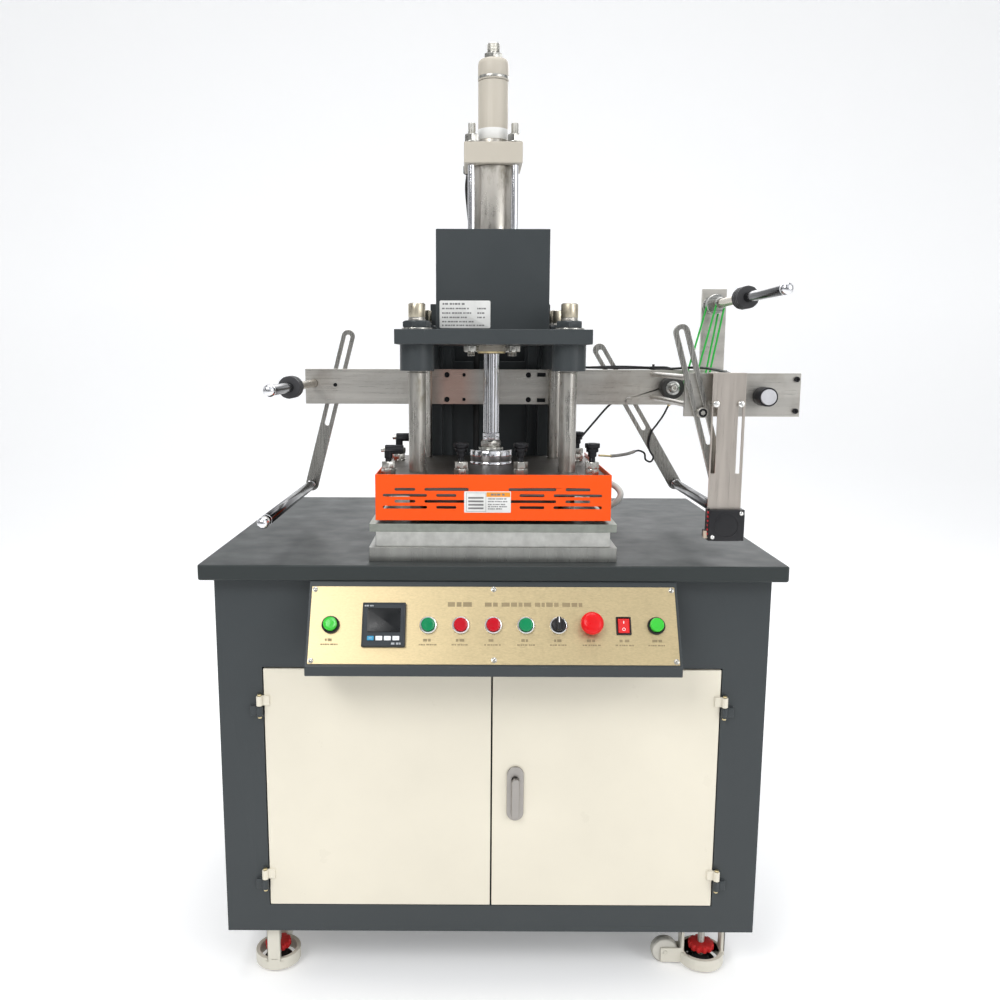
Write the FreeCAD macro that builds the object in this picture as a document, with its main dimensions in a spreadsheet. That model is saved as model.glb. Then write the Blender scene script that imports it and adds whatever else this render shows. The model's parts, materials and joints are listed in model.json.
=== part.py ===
"""Hydraulic hot foil stamping press on a wheeled cabinet, as a parametric document.

Frame: X to the operator's right, Y away from the operator, Z up, millimetres.
The origin is on the floor, under the middle of the table top.
"""
import FreeCAD, Part
import os
import re
import Sketcher
from FreeCAD import Placement, Rotation, Vector

DIMENSIONS = {
    # table and cabinet
    "table_w": 1000, "table_d": 790, "table_t": 27, "table_top": 790, "table_corner": 6,
    "cab_w": 960, "cab_d": 730, "cab_low": 99, "cab_wall": 3, "lip_depth": 25,
    "open_w": 402, "open_low": 151, "open_high": 601,
    "door_gap": 1.5, "door_t": 18, "door_sheet": 1.5, "door_proud": 2,
    "door_low": 153, "door_high": 599, "door_side": 400,
    "pin_x": 407, "pin_y": -372, "pin_r": 2.5, "knuckle_r": 5.5, "knuckle_len": 18,
    "hinge_upper": 514, "hinge_lower": 186, "running": 0.05,
    "lock_x": 42.5, "lock_z": 395, "spindle_r": 5,
    # casters
    "caster_x": 402, "caster_y": 305, "ring_r": 42, "ring_wall": 8, "ring_low": 6, "ring_top": 28,
    "plate_t": 4, "stem_r": 6, "pad_r": 27, "wheel_r": 25, "wheel_w": 16, "wheel_off": 70,
    "wheel_clear": 1.5, "axle_r": 3.5,
    # control box and panel
    "ctl_half": 310, "ctl_wall": 2, "panel_half": 305, "panel_len": 132.7, "panel_t": 2,
    "panel_tilt": 59.18, "panel_y": -397, "panel_z": 754, "row_down": 67, "pitch": 54,
    "outer_x": 270, "bezel_r": 14.75, "bore_r": 10.2, "neck_r": 11, "cap_r": 10,
    "display_x": 181.5, "rocker_x": 216,
    # bed
    "base_half": 212.5, "base_front": -363, "base_back": 45, "base_t": 25,
    "bed_half": 201, "bed_front": -358, "bed_t": 26,
    "work_half": 212, "work_front": -358, "work_t": 14,
    # columns and crosshead
    "press_y": -117.5, "col_x": 135, "col_dy": 127.5, "col_r": 15.5, "col_top": 1231,
    "cross_half": 172, "cross_front": -290, "cross_back": 50, "cross_low": 1159, "cross_t": 25.5,
    "boss_r": 30.5, "boss_low": 1112.5,
    # cylinder and its cover
    "cover_half": 103, "cover_front": -195, "cover_back": -40, "cover_top": 1364, "cover_wall": 2,
    "barrel_r": 40, "barrel_bore": 31.5, "end_half": 53, "end_low": 1482, "end_top": 1519,
    "flange_t": 22, "tie_x": 39, "tie_r": 7, "tail_r": 27.5, "tail_bore": 22, "tail_top": 1633,
    "gland_r": 27, "gland_low": 1147,
    # ram
    "rod_r": 15.5, "rod_low": 961, "tail_rod_r": 12, "stud_top": 1699,
    "hub_r": 41, "platen_low": 903, "platen_top": 933, "platen_half": 198.4,
    "platen_front": -355.6, "platen_back": 33, "heater_low": 866, "heater_top": 892,
    "guard_half": 201, "guard_low": 861, "guard_top": 940, "guard_t": 2, "guard_front": -358,
    "slot_h": 4.6,
    # rear column and crossbar
    "post_half": 124, "post_face": 50, "post_back": 165, "post_top": 1245,
    "bar_left": 384, "bar_right": 492, "bar_low": 1040, "bar_high": 1112, "bar_front": 35,
    "bar_t": 15,
    # foil rollers, shafts and links
    "shaft_r": 8, "front_end": -440, "unwind_x": 366, "unwind_z": 1082, "disc_r": 20.5,
    "rewind_x": 455, "rewind_z": 1244, "roller_r": 9.5, "roller_axle": 5,
    "left_x": 378, "left_z": 868, "right_x": 395, "right_z": 873.5,
    "link_w": 27, "link_t": 8,
    "left_screw_x": 321.9, "left_screw_z": 1079, "right_screw_x": 290, "right_screw_z": 1049,
    "front_screw_x": 345.3, "front_screw_z": 1047,
    "frame_x0": 318, "frame_x1": 510, "frame_low": 1040, "frame_high": 1112, "frame_y": -364,
    "frame_t": 10, "jog_x": 446, "jog_z": 1074,
    "drive_x": 419.5, "drive_z": 1076, "green_r": 23, "pinch_x": 373, "pinch_r": 22.5,
    "belt_y": 23, "belt_top_r": 12.35, "belt_low_r": 20, "thin_y": -35, "thin_top_r": 8,
    "thin_low_r": 12.96, "belt_r": 2,
    "hang_x0": 356, "hang_x1": 411, "hang_y": -395, "hang_top": 1113, "hang_low": 888, "hang_t": 2.5,
}

doc = FreeCAD.newDocument("hot_foil_press")
sheet = doc.addObject("Spreadsheet::Sheet", "dims")
parts = {}


def fill_sheet():
    """One row per driving dimension: its name, then its value in millimetres or degrees."""
    for row, (alias, value) in enumerate(DIMENSIONS.items(), start=1):
        sheet.set(f"A{row}", alias)
        sheet.set(f"B{row}", str(value))
        sheet.setAlias(f"B{row}", alias)
    doc.recompute()


def formula(text):
    """Put the sheet's name before each alias in an expression."""
    return re.sub(
        r"[a-z]\w*", lambda m: ("dims." if m.group() in DIMENSIONS else "") + m.group(), str(text)
    )


def bind(target, prop, value):
    """Drive a property from the sheet, or set it when it is a plain number of this piece alone."""
    if isinstance(value, str):
        target.setExpression(prop, formula(value))
    elif "Placement.Base." in prop:
        target.setExpression(prop, str(value))
    else:
        setattr(target, prop, value)


def part(node, shape):
    """Register the finished sub-part under its own label."""
    shape.Label = node
    parts[node] = shape
    return shape


# ---------------------------------------------------------------- building blocks


def block(name, x, y, z):
    """A box from its low and high bound on each axis."""
    solid = doc.addObject("Part::Box", name)
    for prop, axis, (low, high) in zip(("Length", "Width", "Height"), "xyz", (x, y, z)):
        bind(solid, prop, f"({high}) - ({low})")
        bind(solid, f"Placement.Base.{axis}", f"{low}")
    return solid


AXIS_TURN = {
    "x": Rotation(Vector(0, 1, 0), 90),
    "y": Rotation(Vector(1, 0, 0), -90),
    "z": Rotation(),
}


def rod(name, axis, centre, radius, low, high):
    """A cylinder along an axis; centre holds the two other coordinates in X, Y, Z order."""
    solid = doc.addObject("Part::Cylinder", name)
    bind(solid, "Radius", f"{radius}")
    bind(solid, "Height", f"({high}) - ({low})")
    solid.Placement = Placement(Vector(), AXIS_TURN[axis])
    others = [letter for letter in "xyz" if letter != axis]
    for letter, value in [(axis, low), *zip(others, centre)]:
        bind(solid, f"Placement.Base.{letter}", f"{value}")
    return solid


def fuse(name, *shapes):
    result = doc.addObject("Part::MultiFuse", name)
    result.Shapes = list(shapes)
    return result


def cut(name, base, *tools):
    """The base less its tools, which are joined first when there are several."""
    result = doc.addObject("Part::Cut", name)
    result.Base = base
    result.Tool = tools[0] if len(tools) == 1 else fuse(f"{name}_tools", *tools)
    return result


def group(name, *shapes):
    """Separate solids that share one node."""
    result = doc.addObject("Part::Compound", name)
    result.Links = list(shapes)
    return result


def stack(name, axis, centre, steps):
    """Coaxial cylinders in a row, each (radius, low, high), fused into one turned piece."""
    rods = [rod(f"{name}_{i}", axis, centre, *step) for i, step in enumerate(steps)]
    return fuse(name, *rods)


def pipe(name, axis, centre, outer, inner, low, high):
    return cut(
        name,
        rod(f"{name}_outer", axis, centre, outer, low, high),
        rod(f"{name}_inner", axis, centre, inner, f"({low}) - 1", f"({high}) + 1"),
    )


def hexagon(name, axis, centre, across, low, high):
    """A hexagonal prism, for nuts and screw heads."""
    solid = doc.addObject("Part::Prism", name)
    solid.Polygon = 6
    bind(solid, "Circumradius", f"({across}) / 1.7320508")
    bind(solid, "Height", f"({high}) - ({low})")
    solid.Placement = Placement(Vector(), AXIS_TURN[axis])
    others = [letter for letter in "xyz" if letter != axis]
    for letter, value in [(axis, low), *zip(others, centre)]:
        bind(solid, f"Placement.Base.{letter}", f"{value}")
    return solid


def place(target, x, y, z, rotation=None):
    """Put a piece drawn in its own frame into the machine's frame."""
    if target.TypeId == "Part::Box":
        target = group(f"{target.Name}_set", target)
    target.Placement = Placement(Vector(), rotation or Rotation())
    for letter, value in zip("xyz", (x, y, z)):
        bind(target, f"Placement.Base.{letter}", f"{value}")
    return target


def panel_place(target, x, down, proud):
    """Put a piece on the sloped control panel: down its slope, and proud of the box's face."""
    rotation = Rotation(Vector(1, 0, 0), DIMENSIONS["panel_tilt"])
    y = f"panel_y - ({down}) * cos(panel_tilt) - ({proud}) * sin(panel_tilt)"
    z = f"panel_z - ({down}) * sin(panel_tilt) + ({proud}) * cos(panel_tilt)"
    return place(target, x, y, z, rotation)


# ---------------------------------------------------------------- sketched bodies


def sketch_on(body, role, name):
    """A sketch attached to one of the body's own origin planes."""
    sketch = body.newObject("Sketcher::SketchObject", name)
    plane = next(f for f in body.Origin.OriginFeatures if f.Role == role)
    sketch.AttachmentSupport = [(plane, "")]
    sketch.MapMode = "FlatFace"
    return sketch


def size_constraint(sketch, kind, *args):
    """Add a dimension whose value, the last argument, comes from the sheet."""
    index = sketch.addConstraint(Sketcher.Constraint(kind, *args[:-1], 1.0))
    sketch.setExpression(f"Constraints[{index}]", formula(args[-1]))


def rectangle(sketch, width, height, left=None, low=None):
    """A rectangle from the sketch's origin, or from (left, low) when they are given."""
    start = 0 if left is None else 1
    corners = [Vector(start, start), Vector(9, start), Vector(9, 9), Vector(start, 9)]
    first = sketch.GeometryCount
    for a, b in zip(corners, corners[1:] + corners[:1]):
        sketch.addGeometry(Part.LineSegment(a, b))
    for i in range(4):
        sketch.addConstraint(Sketcher.Constraint("Coincident", first + i, 2, first + (i + 1) % 4, 1))
        direction = "Horizontal" if i % 2 == 0 else "Vertical"
        sketch.addConstraint(Sketcher.Constraint(direction, first + i))
    if left is None:
        sketch.addConstraint(Sketcher.Constraint("Coincident", first, 1, -1, 1))
    else:
        size_constraint(sketch, "DistanceX", -1, 1, first, 1, left)
        size_constraint(sketch, "DistanceY", -1, 1, first, 1, low)
    size_constraint(sketch, "DistanceX", first, 1, first, 2, width)
    size_constraint(sketch, "DistanceY", first + 1, 1, first + 1, 2, height)


def circle(sketch, x, y, radius):
    """A circle whose centre is given from the sketch's origin."""
    index = sketch.addGeometry(Part.Circle(Vector(5, 5), Vector(0, 0, 1), 1))
    size_constraint(sketch, "DistanceX", -1, 1, index, 3, x)
    size_constraint(sketch, "DistanceY", -1, 1, index, 3, y)
    size_constraint(sketch, "Radius", index, radius)


def pad(body, sketch, length, backwards=False):
    feature = body.newObject("PartDesign::Pad", f"{body.Name}_pad")
    feature.Profile = sketch
    feature.Reversed = backwards
    bind(feature, "Length", length)
    doc.recompute()
    return feature


def pierce(body, sketch, depth, backwards=False):
    """A pocket that starts on the sketch's plane and must remove material."""
    before = body.Shape.Volume
    feature = body.newObject("PartDesign::Pocket", f"{sketch.Name}_pocket")
    feature.Profile = sketch
    feature.Reversed = backwards
    bind(feature, "Length", depth)
    doc.recompute()
    if body.Shape.Volume > before - 1:
        raise RuntimeError(f"{sketch.Name} removes nothing")
    return feature


def soften(body, feature, radius, wanted):
    """Fillet the edges of the feature that wanted() picks."""
    doc.recompute()
    names = [f"Edge{i}" for i, edge in enumerate(feature.Shape.Edges, 1) if wanted(edge)]
    fillet = body.newObject("PartDesign::Fillet", f"{body.Name}_fillet")
    fillet.Base = (feature, names)
    bind(fillet, "Radius", radius)
    doc.recompute()
    return fillet


def upright(edge):
    """True for a straight edge along the body's own Z."""
    ends = [v.Point for v in edge.Vertexes]
    return len(ends) == 2 and (ends[1] - ends[0]).cross(Vector(0, 0, 1)).Length < 1e-6


def plate(node, width, depth, thick, holes=(), corner=None):
    """A flat plate drawn from its own corner, with round holes (x, y, radius)."""
    body = doc.addObject("PartDesign::Body", node)
    outline = sketch_on(body, "XY_Plane", f"{node}_outline")
    rectangle(outline, width, depth)
    feature = pad(body, outline, thick)
    if holes:
        drilled = sketch_on(body, "XY_Plane", f"{node}_holes")
        for x, y, radius in holes:
            circle(drilled, x, y, radius)
        feature = pierce(body, drilled, thick, backwards=True)
    if corner:
        soften(body, feature, corner, upright)
    return body


# ---------------------------------------------------------------- cabinet


def span(side, near, far):
    """The X bounds of something between near and far, on the right (1) or left (-1)."""
    return (near, far) if side > 0 else (f"-({far})", f"-({near})")


HINGES = [(side, low) for side in (-1, 1) for low in ("hinge_lower", "hinge_upper")]
CORNERS = {"front_left": (-1, -1), "front_right": (1, -1), "rear_left": (-1, 1), "rear_right": (1, 1)}
CASTER_TURN = {"front_left": 90, "front_right": 180, "rear_left": -90, "rear_right": 180}


def cabinet_shell():
    """Folded steel shell with a door opening, its return lip and the fixed hinge knuckles."""
    front, top = "-cab_d / 2", "table_top - table_t"
    outer = block("shell_outer", ("-cab_w / 2", "cab_w / 2"), (front, "cab_d / 2"), ("cab_low", top))
    hollow = block(
        "shell_hollow",
        ("-cab_w / 2 + cab_wall", "cab_w / 2 - cab_wall"),
        (f"{front} + cab_wall", "cab_d / 2 - cab_wall"),
        ("cab_low + cab_wall", f"{top} - cab_wall"),
    )
    opening = block(
        "shell_opening", ("-open_w", "open_w"), (f"{front} - 1", f"{front} + lip_depth + 1"),
        ("open_low", "open_high"),
    )
    lip = block(
        "shell_lip", ("-open_w - cab_wall", "open_w + cab_wall"), (front, f"{front} + lip_depth"),
        ("open_low - cab_wall", "open_high + cab_wall"),
    )
    pieces = [cut("shell_box", outer, hollow), lip]
    bores = [opening]
    for i, (side, low) in enumerate(HINGES):
        at, high = (f"{side} * pin_x", "pin_y"), f"{low} + knuckle_len"
        pieces.append(rod(f"frame_knuckle_{i}", "z", at, "knuckle_r", low, high))
        leaf = span(side, "pin_x", "pin_x + 17")
        pieces.append(block(f"frame_leaf_{i}", leaf, ("pin_y + 1", front), (low, high)))
        bores.append(rod(f"frame_pin_bore_{i}", "z", at, "pin_r", f"{low} - 1", f"{high} + 1"))
    part("cabinet_shell", cut("cabinet_shell", fuse("shell_pieces", *pieces), *bores))


def table_top():
    body = plate("table_top", "table_w", "table_d", "table_t", corner="table_corner")
    part("table_top", place(body, "-table_w / 2", "-table_d / 2", "table_top - table_t"))


def hinge_pins():
    pins = []
    for i, (side, low) in enumerate(HINGES):
        at = (f"{side} * pin_x", "pin_y")
        pins.append(rod(f"hinge_pin_{i}", "z", at, "pin_r", low, f"{low} + 2 * knuckle_len + 1"))
    part("hinge_pins", group("hinge_pins", *pins))


def door(name, side, extra_bores=()):
    """A folded tray with its two hinge knuckles, hung outside the front."""
    face = "-cab_d / 2 - door_proud"
    tray = cut(
        f"{name}_tray",
        block(f"{name}_skin", span(side, "door_gap", "door_side"), (face, f"{face} + door_t"),
              ("door_low", "door_high")),
        block(f"{name}_hollow", span(side, "door_gap + door_sheet", "door_side - door_sheet"),
              (f"{face} + door_sheet", f"{face} + door_t + 1"),
              ("door_low + door_sheet", "door_high - door_sheet")),
    )
    pieces, bores = [tray], list(extra_bores)
    for i, (_, low) in enumerate(h for h in HINGES if h[0] == side):
        at = (f"{side} * pin_x", "pin_y")
        start, end = f"{low} + knuckle_len + 1", f"{low} + 2 * knuckle_len + 1"
        pieces.append(rod(f"{name}_knuckle_{i}", "z", at, "knuckle_r", start, end))
        leaf = span(side, "pin_x - 17", "pin_x")
        pieces.append(block(f"{name}_leaf_{i}", leaf, ("pin_y + 1", face), (start, end)))
        bores.append(
            rod(f"{name}_pin_bore_{i}", "z", at, "pin_r + running", f"{start} - 1", f"{end} + 1")
        )
    return cut(f"{name}_panel", fuse(f"{name}_pieces", *pieces), *bores)


def doors():
    """Both doors; the right one carries the lock's oblong escutcheon as a solid of its own."""
    part("left_door", door("left_door", -1))
    at, face = ("lock_x", "lock_z"), "-cab_d / 2 - door_proud"
    bore = rod("lock_bore", "y", at, "spindle_r + running", f"{face} - 6", f"{face} + 6")
    panel = door("right_door", 1, [bore])
    ends = [rod(f"escutcheon_end_{i}", "y", ("lock_x", z), 15, f"{face} - 4", face)
            for i, z in enumerate(("lock_z - 61", "lock_z + 11"))]
    middle = block("escutcheon_middle", ("lock_x - 15", "lock_x + 15"), (f"{face} - 4", face),
                   ("lock_z - 61", "lock_z + 11"))
    hole = rod("escutcheon_bore", "y", at, "spindle_r + running", f"{face} - 6", f"{face} + 6")
    escutcheon = cut("lock_escutcheon", fuse("escutcheon", middle, *ends), hole)
    part("right_door", group("right_door", panel, escutcheon))


def lock_handle():
    """Lever, spindle and the cam that swings behind the left door when the lever turns."""
    face = "-cab_d / 2 - door_proud"
    spindle = rod("lock_spindle", "y", ("lock_x", "lock_z"), "spindle_r", f"{face} - 8", f"{face} + 24")
    grip = (f"{face} - 14", f"{face} - 4.5")
    lever = block("lever_bar", ("lock_x - 7", "lock_x + 7"), grip, ("lock_z - 63", "lock_z"))
    ends = [rod(f"lever_end_{i}", "y", ("lock_x", z), 7, *grip) for i, z in
            enumerate(("lock_z - 63", "lock_z"))]
    cam = block("lock_cam", ("lock_x - 6", "lock_x + 6"), (f"{face} + 20.5", f"{face} + 23.5"),
                ("lock_z - 60", "lock_z + 8"))
    part("lock_handle", fuse("lock_handle", spindle, lever, *ends, cam))


def casters():
    """Levelling casters: a foot on a stem, with a ring housing and wheel that swivel about it."""
    feet = []
    top = "cab_low - plate_t"
    for corner, (side, end) in CORNERS.items():
        x, y = f"{side} * caster_x", f"{end} * caster_y"
        foot = stack(f"foot_{corner}", "z", (x, y), [
            ("pad_r", 0, 9), (15, 9, 16), (24, 31, 42), ("stem_r", 16, top)])
        flange = block(f"foot_plate_{corner}", (f"{x} - 36", f"{x} + 36"), (f"{y} - 36", f"{y} + 36"),
                       (top, "cab_low"))
        feet.append(fuse(f"levelling_foot_{corner}", foot, flange))
        turn = Rotation(Vector(0, 0, 1), CASTER_TURN[corner])
        housing = caster_housing(corner, f"{top} - 0.5")
        part(f"caster_housing_{corner}", place(housing, x, y, 0, turn))
        wheel = cut(
            f"wheel_{corner}",
            stack(f"tyre_{corner}", "y", ("wheel_off", "wheel_r + wheel_clear"), [
                ("wheel_r", "-wheel_w / 2 + 2", "wheel_w / 2 - 2"),
                ("wheel_r - 2", "-wheel_w / 2", "wheel_w / 2")]),
            rod(f"wheel_bore_{corner}", "y", ("wheel_off", "wheel_r + wheel_clear"),
                "axle_r + running", "-wheel_w", "wheel_w"),
        )
        part(f"caster_wheel_{corner}", place(wheel, x, y, 0, turn))
    part("levelling_feet", group("levelling_feet", *feet))


def caster_housing(corner, top):
    """Ring, two legs up to a swivel disc, and a fork with its axle, in the caster's own frame."""
    inner = "ring_r - ring_wall"
    pieces = [
        pipe(f"ring_{corner}", "z", (0, 0), "ring_r", inner, "ring_low", "ring_top"),
        rod(f"swivel_{corner}", "z", (0, 0), "ring_r", f"{top} - plate_t", top),
        rod(f"axle_{corner}", "y", ("wheel_off", "wheel_r + wheel_clear"), "axle_r",
            "-wheel_w / 2 - 5", "wheel_w / 2 + 5"),
    ]
    for side in (-1, 1):
        x = span(side, f"{inner} + 0.5", "ring_r - 1")
        pieces.append(block(f"leg_{corner}_{side + 1}", x, (-12, 12), ("ring_top - 4", f"{top} - 1")))
        y = span(side, "wheel_w / 2 + 1", "wheel_w / 2 + 4")
        cheek = ("ring_low", "wheel_r + wheel_clear + 8")
        pieces.append(block(f"cheek_{corner}_{side + 1}", ("ring_r - 6", "wheel_off + 8"), y, cheek))
    bore = rod(f"swivel_bore_{corner}", "z", (0, 0), "stem_r + running", f"{top} - 20", f"{top} + 1")
    return cut(f"housing_{corner}", fuse(f"housing_pieces_{corner}", *pieces), bore)


def hydraulic_unit():
    """Oil tank, its lid, the vertical pump motor and the valve block, inside the cabinet."""
    low, high = "cab_low + cab_wall", "cab_low + cab_wall + 210"
    x, y = (-340, -20), (-60, 240)
    tank = cut(
        "oil_tank",
        block("tank_outer", x, y, (low, high)),
        block("tank_inner", (x[0] + 4, x[1] - 4), (y[0] + 4, y[1] - 4), (f"{low} + 4", f"{high} + 1")),
    )
    lid = block("tank_lid", (x[0] - 6, x[1] + 6), (y[0] - 6, y[1] + 6), (high, f"{high} + 6"))
    motor = stack("pump_motor", "z", (-240, 90), [
        (82, f"{high} + 6", f"{high} + 22"), (70, f"{high} + 22", f"{high} + 200"),
        (66, f"{high} + 200", f"{high} + 245")])
    valves = block("valve_block", (-120, -50), (30, 150), (f"{high} + 6", f"{high} + 76"))
    coil = rod("valve_coil", "x", (90, f"{high} + 92"), 20, -140, -30)
    valve = fuse("valve_stack", valves, coil)
    part("hydraulic_unit", group("hydraulic_unit", tank, lid, motor, valve))


# ---------------------------------------------------------------- control box


BUTTONS = {
    "left_start_button": "-outer_x", "pump_start_button": "-2 * pitch", "pump_stop_button": "-pitch",
    "feed_stop_button": "0 * pitch", "feed_start_button": "pitch", "right_start_button": "outer_x",
}
SELECTOR_X, STOP_X = "2 * pitch", "3 * pitch"


def control_box():
    """Wedge-shaped steel box under the table's front edge, open behind its sloped window."""
    top = "table_top - table_t"

    def wedge(name, wall):
        solid = block(
            f"{name}_block", (f"-ctl_half + {wall}", f"ctl_half - {wall}"),
            (f"-467 + {wall}", "-cab_d / 2"), (f"620 + {wall}", f"{top} - {wall}"))
        knife = block(f"{name}_knife", (-400, 400), (-300, 300), (0, 200))
        return cut(name, solid, panel_place(knife, 0, 0, f"-({wall})"))

    window = block("panel_window", ("-ctl_half + 15", "ctl_half - 15"), ("-panel_len + 14", "-8"), (-8, 4))
    part("control_box", cut(
        "control_box", wedge("wedge_outer", "0 * ctl_wall"), wedge("wedge_inner", "ctl_wall"),
        panel_place(window, 0, 0, 0)))


def control_panel():
    """Brushed panel on the slope, pierced for each switch, the controller and the rocker."""
    body = doc.addObject("PartDesign::Body", "control_panel")
    outline = sketch_on(body, "XY_Plane", "panel_outline")
    rectangle(outline, "2 * panel_half", "panel_len")
    pad(body, outline, "panel_t")
    holes = sketch_on(body, "XY_Plane", "panel_holes")
    for x in [*BUTTONS.values(), SELECTOR_X, STOP_X]:
        circle(holes, f"panel_half + {x}", "panel_len - row_down", "neck_r + 0.1")
    pierce(body, holes, "panel_t", backwards=True)
    square = sketch_on(body, "XY_Plane", "panel_cutouts")
    rectangle(square, "68 + 0 * pitch", "68 + 0 * pitch", "panel_half - display_x - 34",
              "panel_len - row_down - 34")
    rectangle(square, "20.5 + 0 * pitch", "26.5 + 0 * pitch", "panel_half + rocker_x - 10.25",
              "panel_len - row_down - 13.25")
    pierce(body, square, "panel_t", backwards=True)
    part("control_panel", panel_place(body, "-panel_half", "panel_len", 0))


def bezel(name):
    """A 22 mm switch body: bezel, neck and contact block, bored for its cap."""
    tube = stack(f"{name}_tube", "z", (0, 0), [("bezel_r", "panel_t", "panel_t + 5"),
                                               ("neck_r", -38, "panel_t")])
    return cut(name, tube, rod(f"{name}_bore", "z", (0, 0), "bore_r", -7, 10))


def cap(name):
    return stack(name, "z", (0, 0), [("cap_r", -1, 8.5), ("cap_r - 1", 8.5, 9.5)])


def switches():
    """Every switch on the sloped panel, and the one on the front plate of the foil frame."""
    bezels = []
    for node, x in BUTTONS.items():
        bezels.append(panel_place(bezel(f"bezel_{node}"), x, "row_down", 0))
        part(node, panel_place(cap(node), x, "row_down", 0))
    for node, x in (("selector", SELECTOR_X), ("stop", STOP_X)):
        bezels.append(panel_place(bezel(f"bezel_{node}"), x, "row_down", 0))

    stem = stack("selector_stem", "z", (0, 0), [(4, -5, 8), (11.5, 7.5, 12)])
    bar = block("selector_bar", (-3.5, 3.5), (-11, 11), (12, 21))
    part("selector_knob", panel_place(fuse("selector_knob", stem, bar), SELECTOR_X, "row_down", 0))
    mushroom = stack("estop_button", "z", (0, 0), [("cap_r", -1, 15), (19, 15, 24), (16.5, 24, 28)])
    part("estop_button", panel_place(mushroom, STOP_X, "row_down", 0))

    frame = fuse("rocker_shell", block("rocker_flange", (-12.5, 12.5), (-15.5, 15.5), (2, 4.5)),
                 block("rocker_skirt", (-10.2, 10.2), (-13.2, 13.2), (-20, 2)))
    hollow = block("rocker_hollow", (-9.8, 9.8), (-12.95, 12.95), (-19, 6))
    bezels.append(panel_place(cut("rocker_frame", frame, hollow), "rocker_x", "row_down", 0))
    key = block("rocker_block", (-9.5, 9.5), (-12, 12), (-5, 4.5))
    key = fuse("rocker_key", key, rod("rocker_pin", "x", (0, 0), 1.5, -9.6, 9.6))
    panel_place(key, "rocker_x", "row_down", 1)
    key.Placement = Placement(key.Placement.Base, Rotation(Vector(1, 0, 0), DIMENSIONS["panel_tilt"] + 8))
    part("rocker_key", key)

    front = Rotation(Vector(1, 0, 0), 90)
    housing = cut("jog_housing", stack("jog_tube", "z", (0, 0), [(15.75, 0, 38), ("neck_r", -22, 0)]),
                  rod("jog_bore", "z", (0, 0), 13.2, 22, 40))
    bezels.append(place(housing, "jog_x", "frame_y", "jog_z", front))
    jog = stack("jog_button", "z", (0, 0), [(13, 27, 39.5), (12, 39.5, 40.5)])
    part("jog_button", place(jog, "jog_x", "frame_y", "jog_z", front))
    part("switch_bezels", group("switch_bezels", *bezels))

    case = fuse(
        "controller_case", block("controller_face", (-36, 36), (-37.5, 37.5), (2, 9)),
        block("controller_body", (-33.5, 33.5), (-33.5, 33.5), (-54, 2)))
    part("temperature_controller", panel_place(case, "-display_x", "row_down", 0))


# ---------------------------------------------------------------- press


COLUMNS = [(x, y) for x in (-1, 1) for y in (-1, 1)]


def column_holes(left, front, radius):
    """The four column holes, measured from a plate's own corner."""
    return [(f"{left} + {sx} * col_x", f"press_y + {sy} * col_dy - ({front})", radius)
            for sx, sy in COLUMNS]


def bed():
    """Base plate, aluminium bed plate and the steel work plate, stacked on the table."""
    z, slabs = "table_top", []
    for name, half, front, thick, bore in (
        ("base_plate", "base_half", "base_front", "base_t", "col_r"),
        ("bed_plate", "bed_half", "bed_front", "bed_t", "col_r + 0.5"),
        ("work_plate", "work_half", "work_front", "work_t", "col_r + 0.5"),
    ):
        slab = plate(name, f"2 * {half}", f"base_back - 5 - {front}", thick,
                     column_holes(half, front, bore), 1.5)
        slabs.append(place(slab, f"-{half}", front, z))
        z = f"{z} + {thick}"
    part("bed_plates", group("bed_plates", *slabs[:2]))
    part("work_plate", slabs[2])


def column_rods(name, radius, low, high):
    return [rod(f"{name}_{i}", "z", (f"{sx} * col_x", f"press_y + {sy} * col_dy"), radius, low, high)
            for i, (sx, sy) in enumerate(COLUMNS)]


def columns():
    part("guide_columns", group("guide_columns", *column_rods("column", "col_r", "table_top", "col_top")))
    top = "cross_low + cross_t"
    nuts = []
    for i, (sx, sy) in enumerate(COLUMNS):
        at = (f"{sx} * col_x", f"press_y + {sy} * col_dy")
        washer = rod(f"column_washer_{i}", "z", at, 27, top, f"{top} + 3")
        nut = hexagon(f"column_hex_{i}", "z", at, 44, f"{top} + 3", f"{top} + 16")
        bore = rod(f"column_nut_bore_{i}", "z", at, "col_r", f"{top} - 1", f"{top} + 20")
        nuts.append(cut(f"column_nut_{i}", fuse(f"column_nut_blank_{i}", washer, nut), bore))
    part("column_nuts", group("column_nuts", *nuts))


def crosshead():
    slab = block("cross_slab", ("-cross_half", "cross_half"), ("cross_front", "cross_back"),
                 ("cross_low", "cross_low + cross_t"))
    bosses = column_rods("cross_boss", "boss_r", "boss_low", "cross_low + 1")
    bores = column_rods("cross_bore", "col_r", "boss_low - 1", "cross_low + cross_t + 1")
    through = ("cross_low - 1", "cross_low + cross_t + 1")
    bores.append(rod("gland_bore", "z", (0, "press_y"), "gland_r", *through))
    for i, (sx, sy) in enumerate(COLUMNS):
        at = (f"{sx} * tie_x", f"press_y + {sy} * tie_x")
        bores.append(rod(f"cross_tie_{i}", "z", at, "tie_r", *through))
    part("crosshead", cut("crosshead", fuse("cross_body", slab, *bosses), *bores))


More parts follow.
